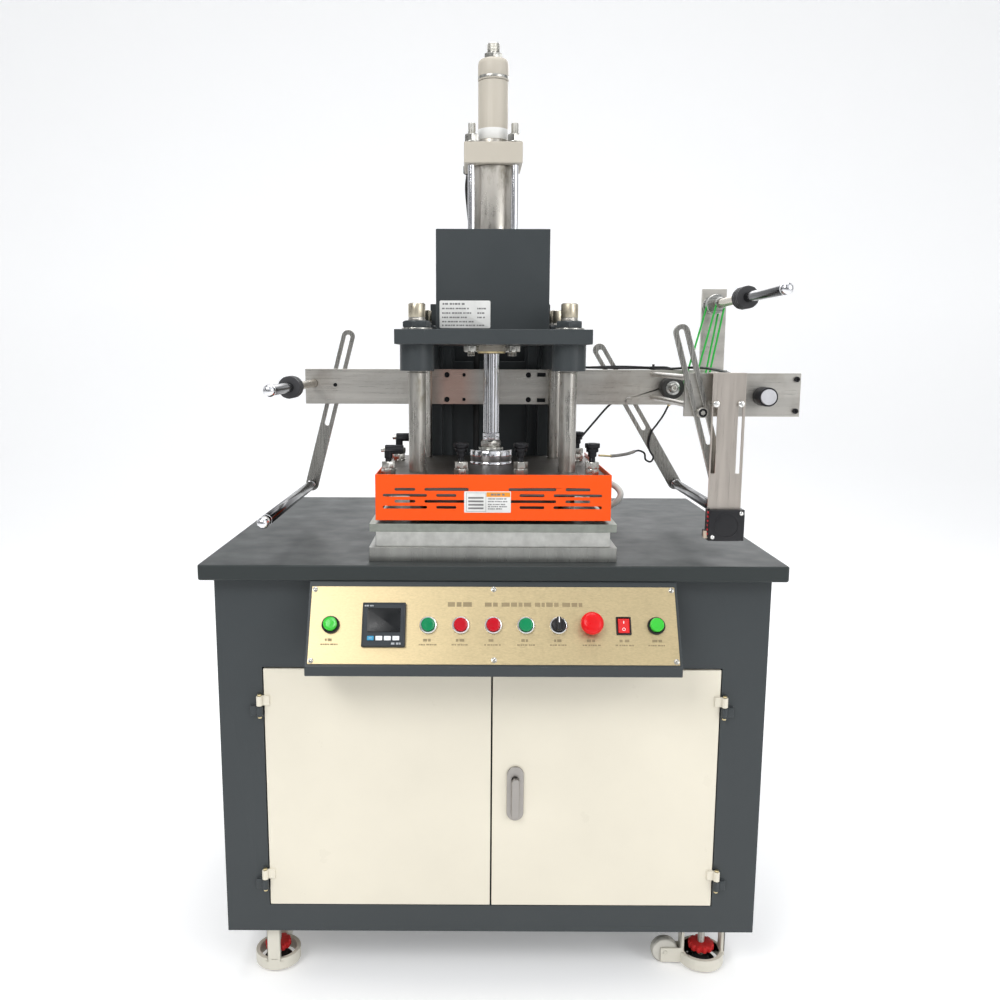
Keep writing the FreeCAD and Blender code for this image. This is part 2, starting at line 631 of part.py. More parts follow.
def cylinder():
    """Tie-rod hydraulic cylinder: barrel, end blocks with gland and tail tube, and tie rods."""
    seat, at = "cross_low + cross_t", (0, "press_y")
    part("cylinder_barrel", pipe("cylinder_barrel", "z", at, "barrel_r", "barrel_bore",
                                 f"{seat} + flange_t", "end_low"))

    def square(name, low, high):
        return block(name, ("-end_half", "end_half"), ("press_y - end_half", "press_y + end_half"),
                     (low, high))

    lower = fuse("lower_blank", square("lower_square", seat, f"{seat} + flange_t"),
                 rod("gland", "z", at, "gland_r", "gland_low", seat))
    upper = fuse("upper_blank", square("upper_square", "end_low", "end_top"),
                 rod("tail_tube", "z", at, "tail_r", "end_top", "tail_top"))
    ties, lower_bores, upper_bores, above = [], [], [], f"{seat} + flange_t + 1"
    for i, (sx, sy) in enumerate(COLUMNS):
        spot = (f"{sx} * tie_x", f"press_y + {sy} * tie_x")
        shank = rod(f"tie_shank_{i}", "z", spot, "tie_r", "cross_low - 20", "end_top + 34")
        low_nut = hexagon(f"tie_low_nut_{i}", "z", spot, 24, "cross_low - 13", "cross_low")
        top_nut = hexagon(f"tie_top_nut_{i}", "z", spot, 24, "end_top", "end_top + 16")
        ties.append(fuse(f"tie_rod_{i}", shank, low_nut, top_nut))
        lower_bores.append(rod(f"lower_tie_{i}", "z", spot, "tie_r", f"{seat} - 1", above))
        upper_bores.append(rod(f"upper_tie_{i}", "z", spot, "tie_r", "end_low - 1", "end_top + 1"))
    lower_bores.append(rod("gland_way", "z", at, "rod_r + running", "gland_low - 1", above))
    upper_bores.append(rod("tail_way", "z", at, "tail_rod_r + running", "end_low - 1", "end_top + 1"))
    upper_bores.append(rod("tail_bore", "z", at, "tail_bore", "end_top", "tail_top + 1"))
    part("tie_rods", group("tie_rods", *ties))
    part("cylinder_end_blocks", group(
        "cylinder_end_blocks", cut("lower_block", lower, *lower_bores),
        cut("upper_block", upper, *upper_bores)))


def cylinder_cover():
    """Sheet box around the lower cylinder, open below and round the barrel and tie rods above."""
    low = "cross_low + cross_t"
    outer = block("cover_outer", ("-cover_half", "cover_half"), ("cover_front", "cover_back"),
                  (low, "cover_top"))
    inner = block("cover_inner", ("-cover_half + cover_wall", "cover_half - cover_wall"),
                  ("cover_front + cover_wall", "cover_back - cover_wall"),
                  (f"{low} - 1", "cover_top - cover_wall"))
    hole = block("cover_hole", ("-end_half + 1", "end_half - 1"),
                 ("press_y - end_half + 1", "press_y + end_half - 1"), ("cover_top - 9", "cover_top + 1"))
    part("cylinder_cover", cut("cylinder_cover", outer, inner, hole))


def ram():
    """Everything that travels with the piston."""
    at = (0, "press_y")
    shaft = stack("ram_shaft", "z", at, [
        ("rod_r", "rod_low", "cross_low + 60"), ("barrel_bore - 0.1", "cross_low + 60", "cross_low + 90"),
        ("tail_rod_r", "cross_low + 90", "stud_top")])

    def ring(name, blank, bore):
        return cut(name, blank, rod(f"{name}_bore", "z", at, bore, "rod_low - 1", "stud_top + 1"))

    washer = ring("rod_washer", rod("washer_blank", "z", at, 24, "rod_low", "rod_low + 5"), "rod_r")
    nut = ring("rod_nut", hexagon("rod_nut_blank", "z", at, 36, "rod_low + 5", "rod_low + 17"), "rod_r")
    knob = stack("stroke_knob_blank", "z", at, [
        (28, "tail_top + 0.3", "tail_top + 34"), (24, "tail_top + 34", "tail_top + 38")])
    knob = ring("stroke_knob", knob, "tail_rod_r")
    lock = hexagon("stroke_nut_blank", "z", at, 32, "tail_top + 38", "tail_top + 48")
    lock = ring("stroke_lock_nut", lock, "tail_rod_r")
    part("piston_rod", group("piston_rod", shaft, washer, nut, knob, lock))
    part("press_hub", stack("press_hub", "z", at, [
        ("hub_r", "platen_top", "platen_top + 17"), ("hub_r - 2.5", "platen_top + 17", "platen_top + 19"),
        ("hub_r", "platen_top + 19", "rod_low")]))
    platen = plate(
        "platen", "2 * platen_half", "platen_back - platen_front", "platen_top - platen_low",
        column_holes("platen_half", "platen_front", "col_r + running"))
    part("platen", place(platen, "-platen_half", "platen_front", "platen_low"))
    hot = block("hot_plate", (-112, 112), (-340, 15), ("heater_low", "heater_top"))
    board = block("insulation_board", (-116, 116), (-344, 19), ("heater_top", "platen_low"))
    part("heater_plate", group("heater_plate", hot, board))


OUTER_ROW = ((-168, 35), (-117, 75), (26, 81), (123, 42))
INNER_ROW = ((-188, 75), (-97, 34), (45, 42), (103, 82))
SLOT_ROWS = ((883.7, INNER_ROW), (894.0, OUTER_ROW), (904.3, INNER_ROW), (914.6, OUTER_ROW))


def vent_slot(name, left, length, z):
    """One round-ended slot through the guard's front, from its left end."""
    through = ("guard_front - 1", "guard_front + guard_t + 1")
    ends = (f"{left} + slot_h / 2", f"{left + length} - slot_h / 2")
    middle = block(f"{name}_mid", ends, through, (f"{z} - slot_h / 2", f"{z} + slot_h / 2"))
    return fuse(name, middle, *[rod(f"{name}_end_{i}", "y", (x, z), "slot_h / 2", *through)
                                for i, x in enumerate(ends)])


def guard():
    """U-shaped sheet guard round the hot head, with rows of vent slots in its front."""
    outer = block("guard_outer", ("-guard_half", "guard_half"), ("guard_front", "platen_back"),
                  ("guard_low", "guard_top"))
    inner = block("guard_inner", ("-guard_half + guard_t", "guard_half - guard_t"),
                  ("guard_front + guard_t", "platen_back + 1"), ("guard_low - 1", "guard_top + 1"))
    slots = [vent_slot(f"slot_{row}_{i}", left, length, z)
             for row, (z, pattern) in enumerate(SLOT_ROWS) for i, (left, length) in enumerate(pattern)]
    part("guard", cut("guard", outer, inner, *slots))


UPRIGHT_BOLTS = ((-55, -320), (48, -320), (171.5, -320), (172.5, -65))
SIDE_BOLTS = ((-181, -320), (-182, -65))


def head_bolts():
    """Levelling studs with a nut and a black knurled head; the left pair have side heads."""
    bolts = []
    for i, (x, y) in enumerate(UPRIGHT_BOLTS + SIDE_BOLTS):
        sleeve = ("platen_top", "platen_top + 12")
        pieces = [
            rod(f"bolt_sleeve_{i}", "z", (x, y), 10, *sleeve),
            hexagon(f"bolt_nut_{i}", "z", (x, y), 22, "platen_top + 12", "platen_top + 28"),
            rod(f"bolt_stud_{i}", "z", (x, y), 5, "platen_top + 28", "platen_top + 42"),
        ]
        if (x, y) in UPRIGHT_BOLTS:
            pieces.append(rod(f"bolt_neck_{i}", "z", (x, y), 7.5, "platen_top + 36", "platen_top + 50"))
            pieces.append(rod(f"bolt_head_{i}", "z", (x, y), 13, "platen_top + 48", "platen_top + 58"))
        else:
            level = "platen_top + 46"
            pieces.append(rod(f"bolt_head_{i}", "x", (y, level), 8, x - 6, x + 26))
            pieces.append(rod(f"bolt_tip_{i}", "x", (y, level), 4.5, x - 13, x - 6))
        bolts.append(fuse(f"head_bolt_{i}", *pieces))
    part("head_bolts", group("head_bolts", *bolts))


# ---------------------------------------------------------------- foil feed


def rear_column():
    """Two stepped posts joined by a web with a window and by a back plate, behind the crosshead."""
    z = ("table_top", "post_top")
    pieces = [cut("web", block("web_plate", (-80, 80), ("post_face + 55", "post_face + 63"), z),
                  block("web_window", (-75, 75), ("post_face + 50", "post_face + 70"), (1128, 1157))),
              block("column_back", (-101, 101), ("post_back - 8", "post_back"), z)]
    for side in (-1, 1):
        pieces.append(block(f"post_{side + 1}", span(side, 100, "post_half"), ("post_face", "post_back"), z))
        pieces.append(block(f"ledge_{side + 1}", span(side, 80, 100), ("post_face + 30", "post_back"), z))
    part("rear_column", fuse("rear_column", *pieces))


BAR_SCREWS = ((-89.5, 5.5), (-54, 3.5), (80, 5.5))


def crossbar():
    """Flat bar across the machine, bored for the shafts, drilled for its screws and links."""
    body = doc.addObject("PartDesign::Body", "crossbar")
    outline = sketch_on(body, "XZ_Plane", "bar_outline")
    rectangle(outline, "bar_left + bar_right", "bar_high - bar_low")
    pad(body, outline, "bar_t", backwards=True)
    holes = sketch_on(body, "XZ_Plane", "bar_holes")
    drilled = [("-unwind_x", "unwind_z", "shaft_r + running"), ("drive_x", "drive_z", "6 + running"),
               ("-left_screw_x", "left_screw_z", "4 + 0 * pitch"),
               ("right_screw_x", "right_screw_z", "4 + 0 * pitch"),
               ("pinch_x", "drive_z", "5 + 0 * pitch")]
    for x, radius in BAR_SCREWS:
        for z in ("bar_low + 9.5", "bar_high - 11.5"):
            drilled.append((f"{x}", z, f"{radius} + 0 * pitch"))
    for x, z, radius in drilled:
        circle(holes, f"bar_left + {x}", f"{z} - bar_low", radius)
    pierce(body, holes, "bar_t")
    slots = sketch_on(body, "XZ_Plane", "bar_slots")
    for low in ("4.5 + 0 * pitch", "bar_high - bar_low - 15"):
        rectangle(slots, "18 + 0 * pitch", "8 + 0 * pitch", "bar_left + 98", low)
    pierce(body, slots, "bar_t")
    part("crossbar", place(body, "-bar_left", "bar_front", "bar_low"))


def shaft_discs(name, at, middle):
    """Four clamp discs on a spool shaft's thinner rear part, in two pairs."""
    discs = []
    for i, offset in enumerate((-20, -10, 2, 12)):
        start = f"({middle}) + {offset}"
        discs.append(pipe(f"{name}_disc_{i}", "y", at, "disc_r", 8.5, start, f"{start} + 7"))
    return discs


def unwind_shaft():
    at = ("-unwind_x", "unwind_z")
    shaft = stack("unwind_bar", "y", at, [
        (7, "front_end + 30", "front_end + 34"), (9, "front_end + 34", -240), (8.5, -240, -150),
        ("shaft_r", -150, "bar_front + bar_t + 1"),
        (14, "bar_front + bar_t + 0.3", "bar_front + bar_t + 12")])
    part("unwind_shaft", group("unwind_shaft", shaft, *shaft_discs("unwind", at, -219)))


def grooved(middle, groove_r, flange_r, half):
    """Steps of one round-belt pulley: flange, groove clear of the belt, flange."""
    root = f"{groove_r} - belt_r - 0.3"
    return [(flange_r, f"{middle} - {half}", f"{middle} - 2.6"), (root, f"{middle} - 2.6", f"{middle} + 2.6"),
            (flange_r, f"{middle} + 2.6", f"{middle} + {half}")]


def rewind_shaft():
    at = ("rewind_x", "rewind_z")
    back = "bar_front + bar_t"
    shaft = stack("rewind_bar", "y", at, [
        (7, "front_end", "front_end + 4"), (9, "front_end + 4", -225), (8.5, -225, -48),
        *grooved("thin_y", "thin_top_r", "thin_top_r + 3", 6),
        ("shaft_r", "thin_y + 6", -3), (19.5, -3, 3), ("shaft_r", 3, "belt_y - 8"),
        *grooved("belt_y", "belt_top_r", "belt_top_r + 3", 8),
        ("shaft_r", "belt_y + 8", f"{back} + 11"), (14, f"{back} + 10.3", f"{back} + 18"),
        (5, -48, "thin_y - 6")])
    part("rewind_shaft", group("rewind_shaft", shaft, *shaft_discs("rewind", at, -204)))


def drive_roller():
    """Green-covered pulling roller with both belt pulleys on its shaft."""
    part("drive_roller", stack("drive_roller", "y", ("drive_x", "drive_z"), [
        (6, "thin_y - 12", "bar_front + bar_t + 9"), *grooved("thin_y", "thin_low_r", "thin_low_r + 2.5", 6),
        ("green_r", "thin_y + 10", "belt_y - 12"), *grooved("belt_y", "belt_low_r", "belt_low_r + 2.5", 8)]))


def pinch_roller():
    at = ("pinch_x", "drive_z")
    part("pinch_roller", cut(
        "pinch_roller",
        stack("pinch_blank", "y", at, [("pinch_r", -6, 30), (14, -9, -6)]),
        rod("pinch_bore", "y", at, "5 + running", -12, 32)))


def feed_motor():
    """Gear motor behind the crossbar that turns the pulling roller."""
    back = "bar_front + bar_t + 10"
    gearbox = block("gearbox", ("drive_x - 32", "drive_x + 32"), (back, f"{back} + 40"),
                    ("drive_z - 32", "drive_z + 32"))
    motor = rod("motor_can", "y", ("drive_x", "drive_z"), 29, f"{back} + 40", f"{back} + 95")
    spacers = [rod(f"motor_spacer_{i}", "y", ("drive_x - 25", z), 4, "bar_front + bar_t", back)
               for i, z in enumerate(("drive_z - 25", "drive_z + 25"))]
    part("feed_motor", fuse("feed_motor", gearbox, motor, *spacers))


def slotted_link(name, length, slot, eye):
    """A round-ended flat link along Z from its lower eye, slotted between two fractions."""
    def oblong(label, half, low, high, thick):
        ends = [rod(f"{label}_end_{i}", "y", (0, z), half, *thick) for i, z in enumerate((low, high))]
        return fuse(label, block(f"{label}_mid", (f"-({half})", half), thick, (low, high)), *ends)

    bar = oblong(f"{name}_bar", "link_w / 2", -eye, length, (0, "link_t"))
    gap = oblong(f"{name}_gap", "5 + 0 * pitch", length * slot[0], length * slot[1], (-1, "link_t + 1"))
    tools = [gap]
    if eye:
        tools.append(oblong(f"{name}_eye", "roller_axle + 0.8", -eye, eye, (-1, "link_t + 1")))
    return cut(name, bar, *tools)


def lean(degrees):
    """Turn a link about Y; positive leans its top to the right."""
    return Rotation(Vector(0, 1, 0), degrees)


def roller_axle(name, at, front, ball):
    """The fixed axle under a guide roller, with a ball end when it stands free in front."""
    back = "bar_front + bar_t + 1"
    if not ball:
        return rod(name, "y", at, "roller_axle", front, back)
    return stack(name, "y", at, [(7, front, f"{front} + 3"), (9.5, f"{front} + 3", f"{front} + 16"),
                                 ("roller_axle", f"{front} + 16", back)])


LEFT_LINK = {"length": 321.5, "lean": 14.9, "slot": (0.42, 0.995)}
RIGHT_LINK = {"length": 325, "lean": -30.9, "slot": (0.42, 0.985)}
FRONT_LINK = {"length": 317, "lean": -16, "slot": (0.41, 1.0)}


def links_and_rollers():
    """Slotted links with their guide rollers; the front link only steadies the right axle."""
    behind = "bar_front + bar_t + 0.3"
    for side, x, z, data in (("left", "-left_x", "left_z", LEFT_LINK),
                             ("right", "right_x", "right_z", RIGHT_LINK)):
        bar = slotted_link(f"{side}_link_bar", data["length"], data["slot"], 0)
        place(bar, x, behind, z, lean(data["lean"]))
        front = "front_end + 8" if side == "left" else "frame_y - 9"
        axle = roller_axle(f"{side}_axle", (x, z), front, side == "left")
        part(f"{side}_link", fuse(f"{side}_link", bar, axle))
        low = "front_end + 26" if side == "left" else "frame_y + 2"
        part(f"{side}_roller", pipe(f"{side}_roller", "y", (x, z), "roller_r", "roller_axle + running",
                                    low, "bar_front + bar_t - 6"))
    bar = slotted_link("front_link", FRONT_LINK["length"], FRONT_LINK["slot"], 6)
    part("front_link", place(bar, "right_x", "frame_y - link_t - 0.3", "right_z", lean(FRONT_LINK["lean"])))


def screw(name, x, z, low, high, head_r, head):
    """A clamp screw along Y: its shank, and its head between two Y bounds."""
    return fuse(name, rod(f"{name}_shank", "y", (x, z), "3.9 + 0 * pitch", low, high),
                rod(f"{name}_head", "y", (x, z), head_r, *head))


def foil_frame():
    """Front plate, its two tie bars, the rewind upright, the pinch axle and the clamp screws."""
    body = doc.addObject("PartDesign::Body", "front_plate")
    outline = sketch_on(body, "XZ_Plane", "front_outline")
    rectangle(outline, "frame_x1 - frame_x0", "frame_high - frame_low")
    pad(body, outline, "frame_t", backwards=True)
    holes = sketch_on(body, "XZ_Plane", "front_holes")
    circle(holes, "jog_x - frame_x0", "jog_z - frame_low", "neck_r + 0.1")
    pierce(body, holes, "frame_t")
    place(body, "frame_x0", "frame_y", "frame_low")
    back = "bar_front + bar_t"
    upright_bar = cut(
        "rewind_upright",
        block("upright_plate", (438, 488), (back, f"{back} + 10"), ("bar_low", 1277)),
        rod("upright_bore", "y", ("rewind_x", "rewind_z"), "shaft_r + running", f"{back} - 1",
            f"{back} + 11"))
    tie_bars = [rod(f"tie_bar_{i}", "y", (338, z), 5, "frame_y + frame_t", "bar_front")
                for i, z in enumerate((1056, 1103))]
    pinch_axle = rod("pinch_axle", "y", ("pinch_x", "drive_z"), "5 + 0 * pitch", -11, "bar_front")
    link_nut = (f"{back} + link_t + 0.6", f"{back} + link_t + 8")
    screws = [
        screw("left_clamp", "-left_screw_x", "left_screw_z", back, f"{back} + link_t + 8", 9, link_nut),
        fuse("right_clamp_through",
             screw("right_clamp", "right_screw_x", "right_screw_z", "bar_front - 8",
                   f"{back} + link_t + 8", 9, link_nut),
             rod("right_clamp_cap", "y", ("right_screw_x", "right_screw_z"), 6.5, "bar_front - 8",
                 "bar_front")),
        screw("front_clamp", "front_screw_x", "front_screw_z", "frame_y - link_t - 3", "frame_y", 8.5,
              ("frame_y - link_t - 9", "frame_y - link_t - 0.6")),
    ]
    for i, x in enumerate((362, 403)):
        shank = rod(f"hang_shank_{i}", "y", (x, 1062), 3, "hang_y - 2", "frame_y")
        head = rod(f"hang_head_{i}", "y", (x, 1062), 5.5, "hang_y - 3.3", "hang_y - 0.3")
        nut = rod(f"hang_nut_{i}", "y", (x, 1062), 5, "hang_y + hang_t + 0.3", "hang_y + hang_t + 4.3")
        screws.append(fuse(f"hang_screw_{i}", shank, head, nut))
    part("foil_frame", group("foil_frame", body, upright_bar, *tie_bars, pinch_axle, *screws))


def blower_bracket():
    """Slotted hanger plate with its top flange, and the small air blower at its foot."""
    x = ("hang_x0", "hang_x1")
    sheet_plate = block("hang_plate", x, ("hang_y", "hang_y + hang_t"), ("hang_low", "hang_top"))
    flange = block("hang_flange", x, ("hang_y", "frame_y - 1.5"), ("hang_top - hang_t", "hang_top"))
    slots = [block(f"hang_slot_{i}", (x - 3.4, x + 3.4), ("hang_y - 1", "hang_y + hang_t + 1"), (948, 1066))
             for i, x in enumerate((362, 403))]
    hanger = cut("hanger", fuse("hanger_sheet", sheet_plate, flange), *slots)
    blower = fuse("blower", block("blower_case", (357, 416), (-403, -377), (836, "hang_low")),
                  block("blower_foot", (351, 357), (-396, -384), (841, 853)))
    part("blower_bracket", group("blower_bracket", hanger, blower))


def belt_loop(name, y, low_r, top_r):
    """A round belt about the drive and rewind axes: two tangents and two arcs, swept."""
    low = Vector(DIMENSIONS["drive_x"], y, DIMENSIONS["drive_z"])
    top = Vector(DIMENSIONS["rewind_x"], y, DIMENSIONS["rewind_z"])
    along = (top - low).normalize()
    across = Vector(along.z, 0, -along.x)
    tilt = (low_r - top_r) / (top - low).Length
    out = [across * (side * (1 - tilt**2) ** 0.5) + along * tilt for side in (1, -1)]
    edges = [
        Part.LineSegment(low + out[0] * low_r, top + out[0] * top_r),
        Part.Arc(top + out[0] * top_r, top + along * top_r, top + out[1] * top_r),
        Part.LineSegment(top + out[1] * top_r, low + out[1] * low_r),
        Part.Arc(low + out[1] * low_r, low - along * low_r, low + out[0] * low_r),
    ]
    wire = Part.Wire([edge.toShape() for edge in edges])
    start = low + out[0] * low_r
    way = (top + out[0] * top_r - start).normalize()
    section = Part.Wire(Part.Circle(start, way, DIMENSIONS["belt_r"]).toShape())
    belt = doc.addObject("Part::Feature", name)
    belt.Shape = wire.makePipeShell([section], True, True)
    return belt


def drive_belts():
    part("drive_belts", group(
        "drive_belts",
        belt_loop("main_belt", DIMENSIONS["belt_y"], DIMENSIONS["belt_low_r"], DIMENSIONS["belt_top_r"]),
        belt_loop("thin_belt", DIMENSIONS["thin_y"], DIMENSIONS["thin_low_r"], DIMENSIONS["thin_top_r"])))


# ---------------------------------------------------------------- build and write


def check():
    """Stop on any failed feature, and on any sub-part that isn't sound solids."""
    failed = [o.Label for o in doc.Objects if {"Invalid", "Error"} & set(o.State)]
    if failed:
        raise RuntimeError(f"failed features: {failed}")
    for node, shape in parts.items():
        if shape.Shape.isNull() or not shape.Shape.isValid() or not shape.Shape.Solids:
            raise RuntimeError(f"{node} isn't a valid solid")
        if any(solid.Volume <= 0 for solid in shape.Shape.Solids):
            raise RuntimeError(f"{node} has an inside-out solid")


def main():
    fill_sheet()
    for build in (
        cabinet_shell, table_top, hinge_pins, doors, lock_handle, casters, hydraulic_unit,
        control_box, control_panel, switches, bed, columns, crosshead, cylinder, cylinder_cover,
        ram, guard, head_bolts, rear_column, crossbar, unwind_shaft, rewind_shaft, drive_roller,
        pinch_roller, feed_motor, links_and_rollers, foil_frame, blower_bracket, drive_belts,
    ):
        build()
    doc.recompute()
    check()
    os.makedirs("parts", exist_ok=True)
    for node, shape in parts.items():
        shape.Shape.exportStep(f"parts/{node}.step")
        print(f"{node:28s} {len(shape.Shape.Solids)} solids {shape.Shape.Volume / 1000:10.1f} cm3")
    print(len(parts), "sub-parts")


main()
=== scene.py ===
"""Looks of a hydraulic hot foil stamping press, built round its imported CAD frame.

Metres, +Z up, +X to the operator's right, +Y away from the operator.
"""
import json
import math

import bmesh
import bpy
from mathutils import Matrix, Vector
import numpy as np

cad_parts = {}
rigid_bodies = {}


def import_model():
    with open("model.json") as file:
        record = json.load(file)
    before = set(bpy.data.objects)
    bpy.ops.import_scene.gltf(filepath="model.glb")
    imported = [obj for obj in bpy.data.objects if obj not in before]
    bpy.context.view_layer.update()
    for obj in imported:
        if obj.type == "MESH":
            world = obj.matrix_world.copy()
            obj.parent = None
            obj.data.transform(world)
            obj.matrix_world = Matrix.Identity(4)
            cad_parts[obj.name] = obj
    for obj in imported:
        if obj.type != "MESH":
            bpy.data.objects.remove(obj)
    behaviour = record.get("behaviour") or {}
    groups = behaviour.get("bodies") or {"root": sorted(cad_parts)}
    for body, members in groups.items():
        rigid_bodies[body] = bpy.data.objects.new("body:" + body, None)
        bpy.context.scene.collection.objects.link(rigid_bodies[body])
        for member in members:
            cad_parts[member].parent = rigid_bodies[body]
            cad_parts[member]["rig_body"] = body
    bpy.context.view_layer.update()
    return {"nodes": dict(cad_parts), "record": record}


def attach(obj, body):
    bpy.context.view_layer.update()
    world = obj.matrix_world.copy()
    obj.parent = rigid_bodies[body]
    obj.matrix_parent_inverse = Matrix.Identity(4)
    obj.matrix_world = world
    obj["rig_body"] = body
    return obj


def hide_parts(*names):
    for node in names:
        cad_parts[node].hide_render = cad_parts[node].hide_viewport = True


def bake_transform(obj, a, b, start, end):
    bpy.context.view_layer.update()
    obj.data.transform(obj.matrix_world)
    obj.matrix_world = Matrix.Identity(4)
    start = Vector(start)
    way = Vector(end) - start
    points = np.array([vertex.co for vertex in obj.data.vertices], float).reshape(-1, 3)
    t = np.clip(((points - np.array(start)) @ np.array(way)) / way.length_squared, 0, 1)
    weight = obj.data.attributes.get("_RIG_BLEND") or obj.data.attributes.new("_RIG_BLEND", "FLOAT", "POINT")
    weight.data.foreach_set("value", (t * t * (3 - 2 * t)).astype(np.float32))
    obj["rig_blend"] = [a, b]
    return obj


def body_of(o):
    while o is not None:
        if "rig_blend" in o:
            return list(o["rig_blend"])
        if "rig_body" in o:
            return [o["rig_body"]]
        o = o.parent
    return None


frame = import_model()
MM = 0.001


# ---------------------------------------------------------------- camera, stage and lights


def make_camera():
    """A phone's view from standing height, a little above the head of the press."""
    data = bpy.data.cameras.new("camera")
    data.lens, data.sensor_width = 34.2, 36.0
    data.shift_x, data.shift_y = 0.0296, 0.0120
    data.clip_start, data.clip_end = 0.05, 50.0
    camera = bpy.data.objects.new("camera", data)
    right = Vector((0.99999, 0.00314, 0.00304))
    up = Vector((-0.00351, 0.16104, 0.98694))
    back = -Vector((-0.00261, 0.98694, -0.16105))
    turn = Matrix((right, up, back)).transposed().to_4x4()
    camera.matrix_world = Matrix.Translation((-0.0346, -1.9583, 1.1371)) @ turn
    bpy.context.scene.collection.objects.link(camera)
    bpy.context.scene.camera = camera


def area_light(name, place, target, size, watts, colour=(1.0, 1.0, 1.0)):
    data = bpy.data.lights.new(name, "AREA")
    data.shape, data.size, data.size_y = "RECTANGLE", size[0], size[1]
    data.energy, data.color = watts, colour
    light = bpy.data.objects.new(name, data)
    way = Vector(target) - Vector(place)
    light.matrix_world = Matrix.Translation(place) @ way.to_track_quat("-Z", "Y").to_matrix().to_4x4()
    bpy.context.scene.collection.objects.link(light)


def make_stage():
    """Pale seamless floor and backdrop, and soft studio light."""
    across, reach, rise, bend = 9.0, 5.0, 6.0, 1.6
    line = [(-7.0, 0.0)]
    for step in range(13):
        angle = math.radians(90 * step / 12)
        line.append((reach - bend + bend * math.sin(angle), bend - bend * math.cos(angle)))
    line.append((reach, rise))
    verts, faces = [], []
    for y, z in line:
        verts += [(-across, y, z), (across, y, z)]
    for i in range(len(line) - 1):
        faces.append((2 * i, 2 * i + 1, 2 * i + 3, 2 * i + 2))
    mesh = bpy.data.meshes.new("stage_floor")
    mesh.from_pydata(verts, [], faces)
    mesh.shade_smooth()
    floor = bpy.data.objects.new("stage_floor", mesh)
    bpy.context.scene.collection.objects.link(floor)
    paint = Recipe("stage_paper", (0.93, 0.93, 0.93), roughness=0.85)
    paint.shader.inputs["Emission Color"].default_value = (1.0, 1.0, 1.0, 1.0)
    paint.shader.inputs["Emission Strength"].default_value = 0.22
    paint.bump(paint.noise(60, 3), 0.02, 0.001)
    floor.data.materials.append(paint.material)

    make_world()
    area_light("key", (-1.7, -2.9, 3.1), (0, 0, 0.9), (1.8, 1.4), 62)
    area_light("fill", (2.5, -2.6, 2.0), (0, 0, 0.8), (1.2, 1.8), 26)
    area_light("top", (0.0, -0.3, 3.6), (0, 0, 0.8), (2.4, 1.4), 44)
    area_light("back", (0.6, 3.2, 3.0), (0, 0.3, 1.0), (3.0, 1.4), 40)
    bpy.context.scene.view_settings.view_transform = "Standard"


def make_world():
    """Soft daylight with broad darker patches, so polished metal has something to reflect."""
    world = bpy.data.worlds.new("studio")
    world.use_nodes = True
    tree = world.node_tree
    sky = tree.nodes["Background"]
    sky.inputs["Color"].default_value = (0.95, 0.97, 1.0, 1.0)
    where = tree.nodes.new("ShaderNodeTexCoord")
    upright = tree.nodes.new("ShaderNodeMapping")
    upright.inputs["Scale"].default_value = (1.0, 1.0, 0.3)
    tree.links.new(where.outputs["Generated"], upright.inputs["Vector"])
    patches = tree.nodes.new("ShaderNodeTexNoise")
    patches.inputs["Scale"].default_value = 3.0
    patches.inputs["Detail"].default_value = 1.5
    tree.links.new(upright.outputs["Vector"], patches.inputs["Vector"])
    level = tree.nodes.new("ShaderNodeMapRange")
    for label, number in (("From Min", 0.44), ("From Max", 0.58), ("To Min", 0.07), ("To Max", 0.95)):
        level.inputs[label].default_value = number
    tree.links.new(patches.outputs["Fac"], level.inputs["Value"])
    tree.links.new(level.outputs["Result"], sky.inputs["Strength"])
    bpy.context.scene.world = world


# ---------------------------------------------------------------- materials


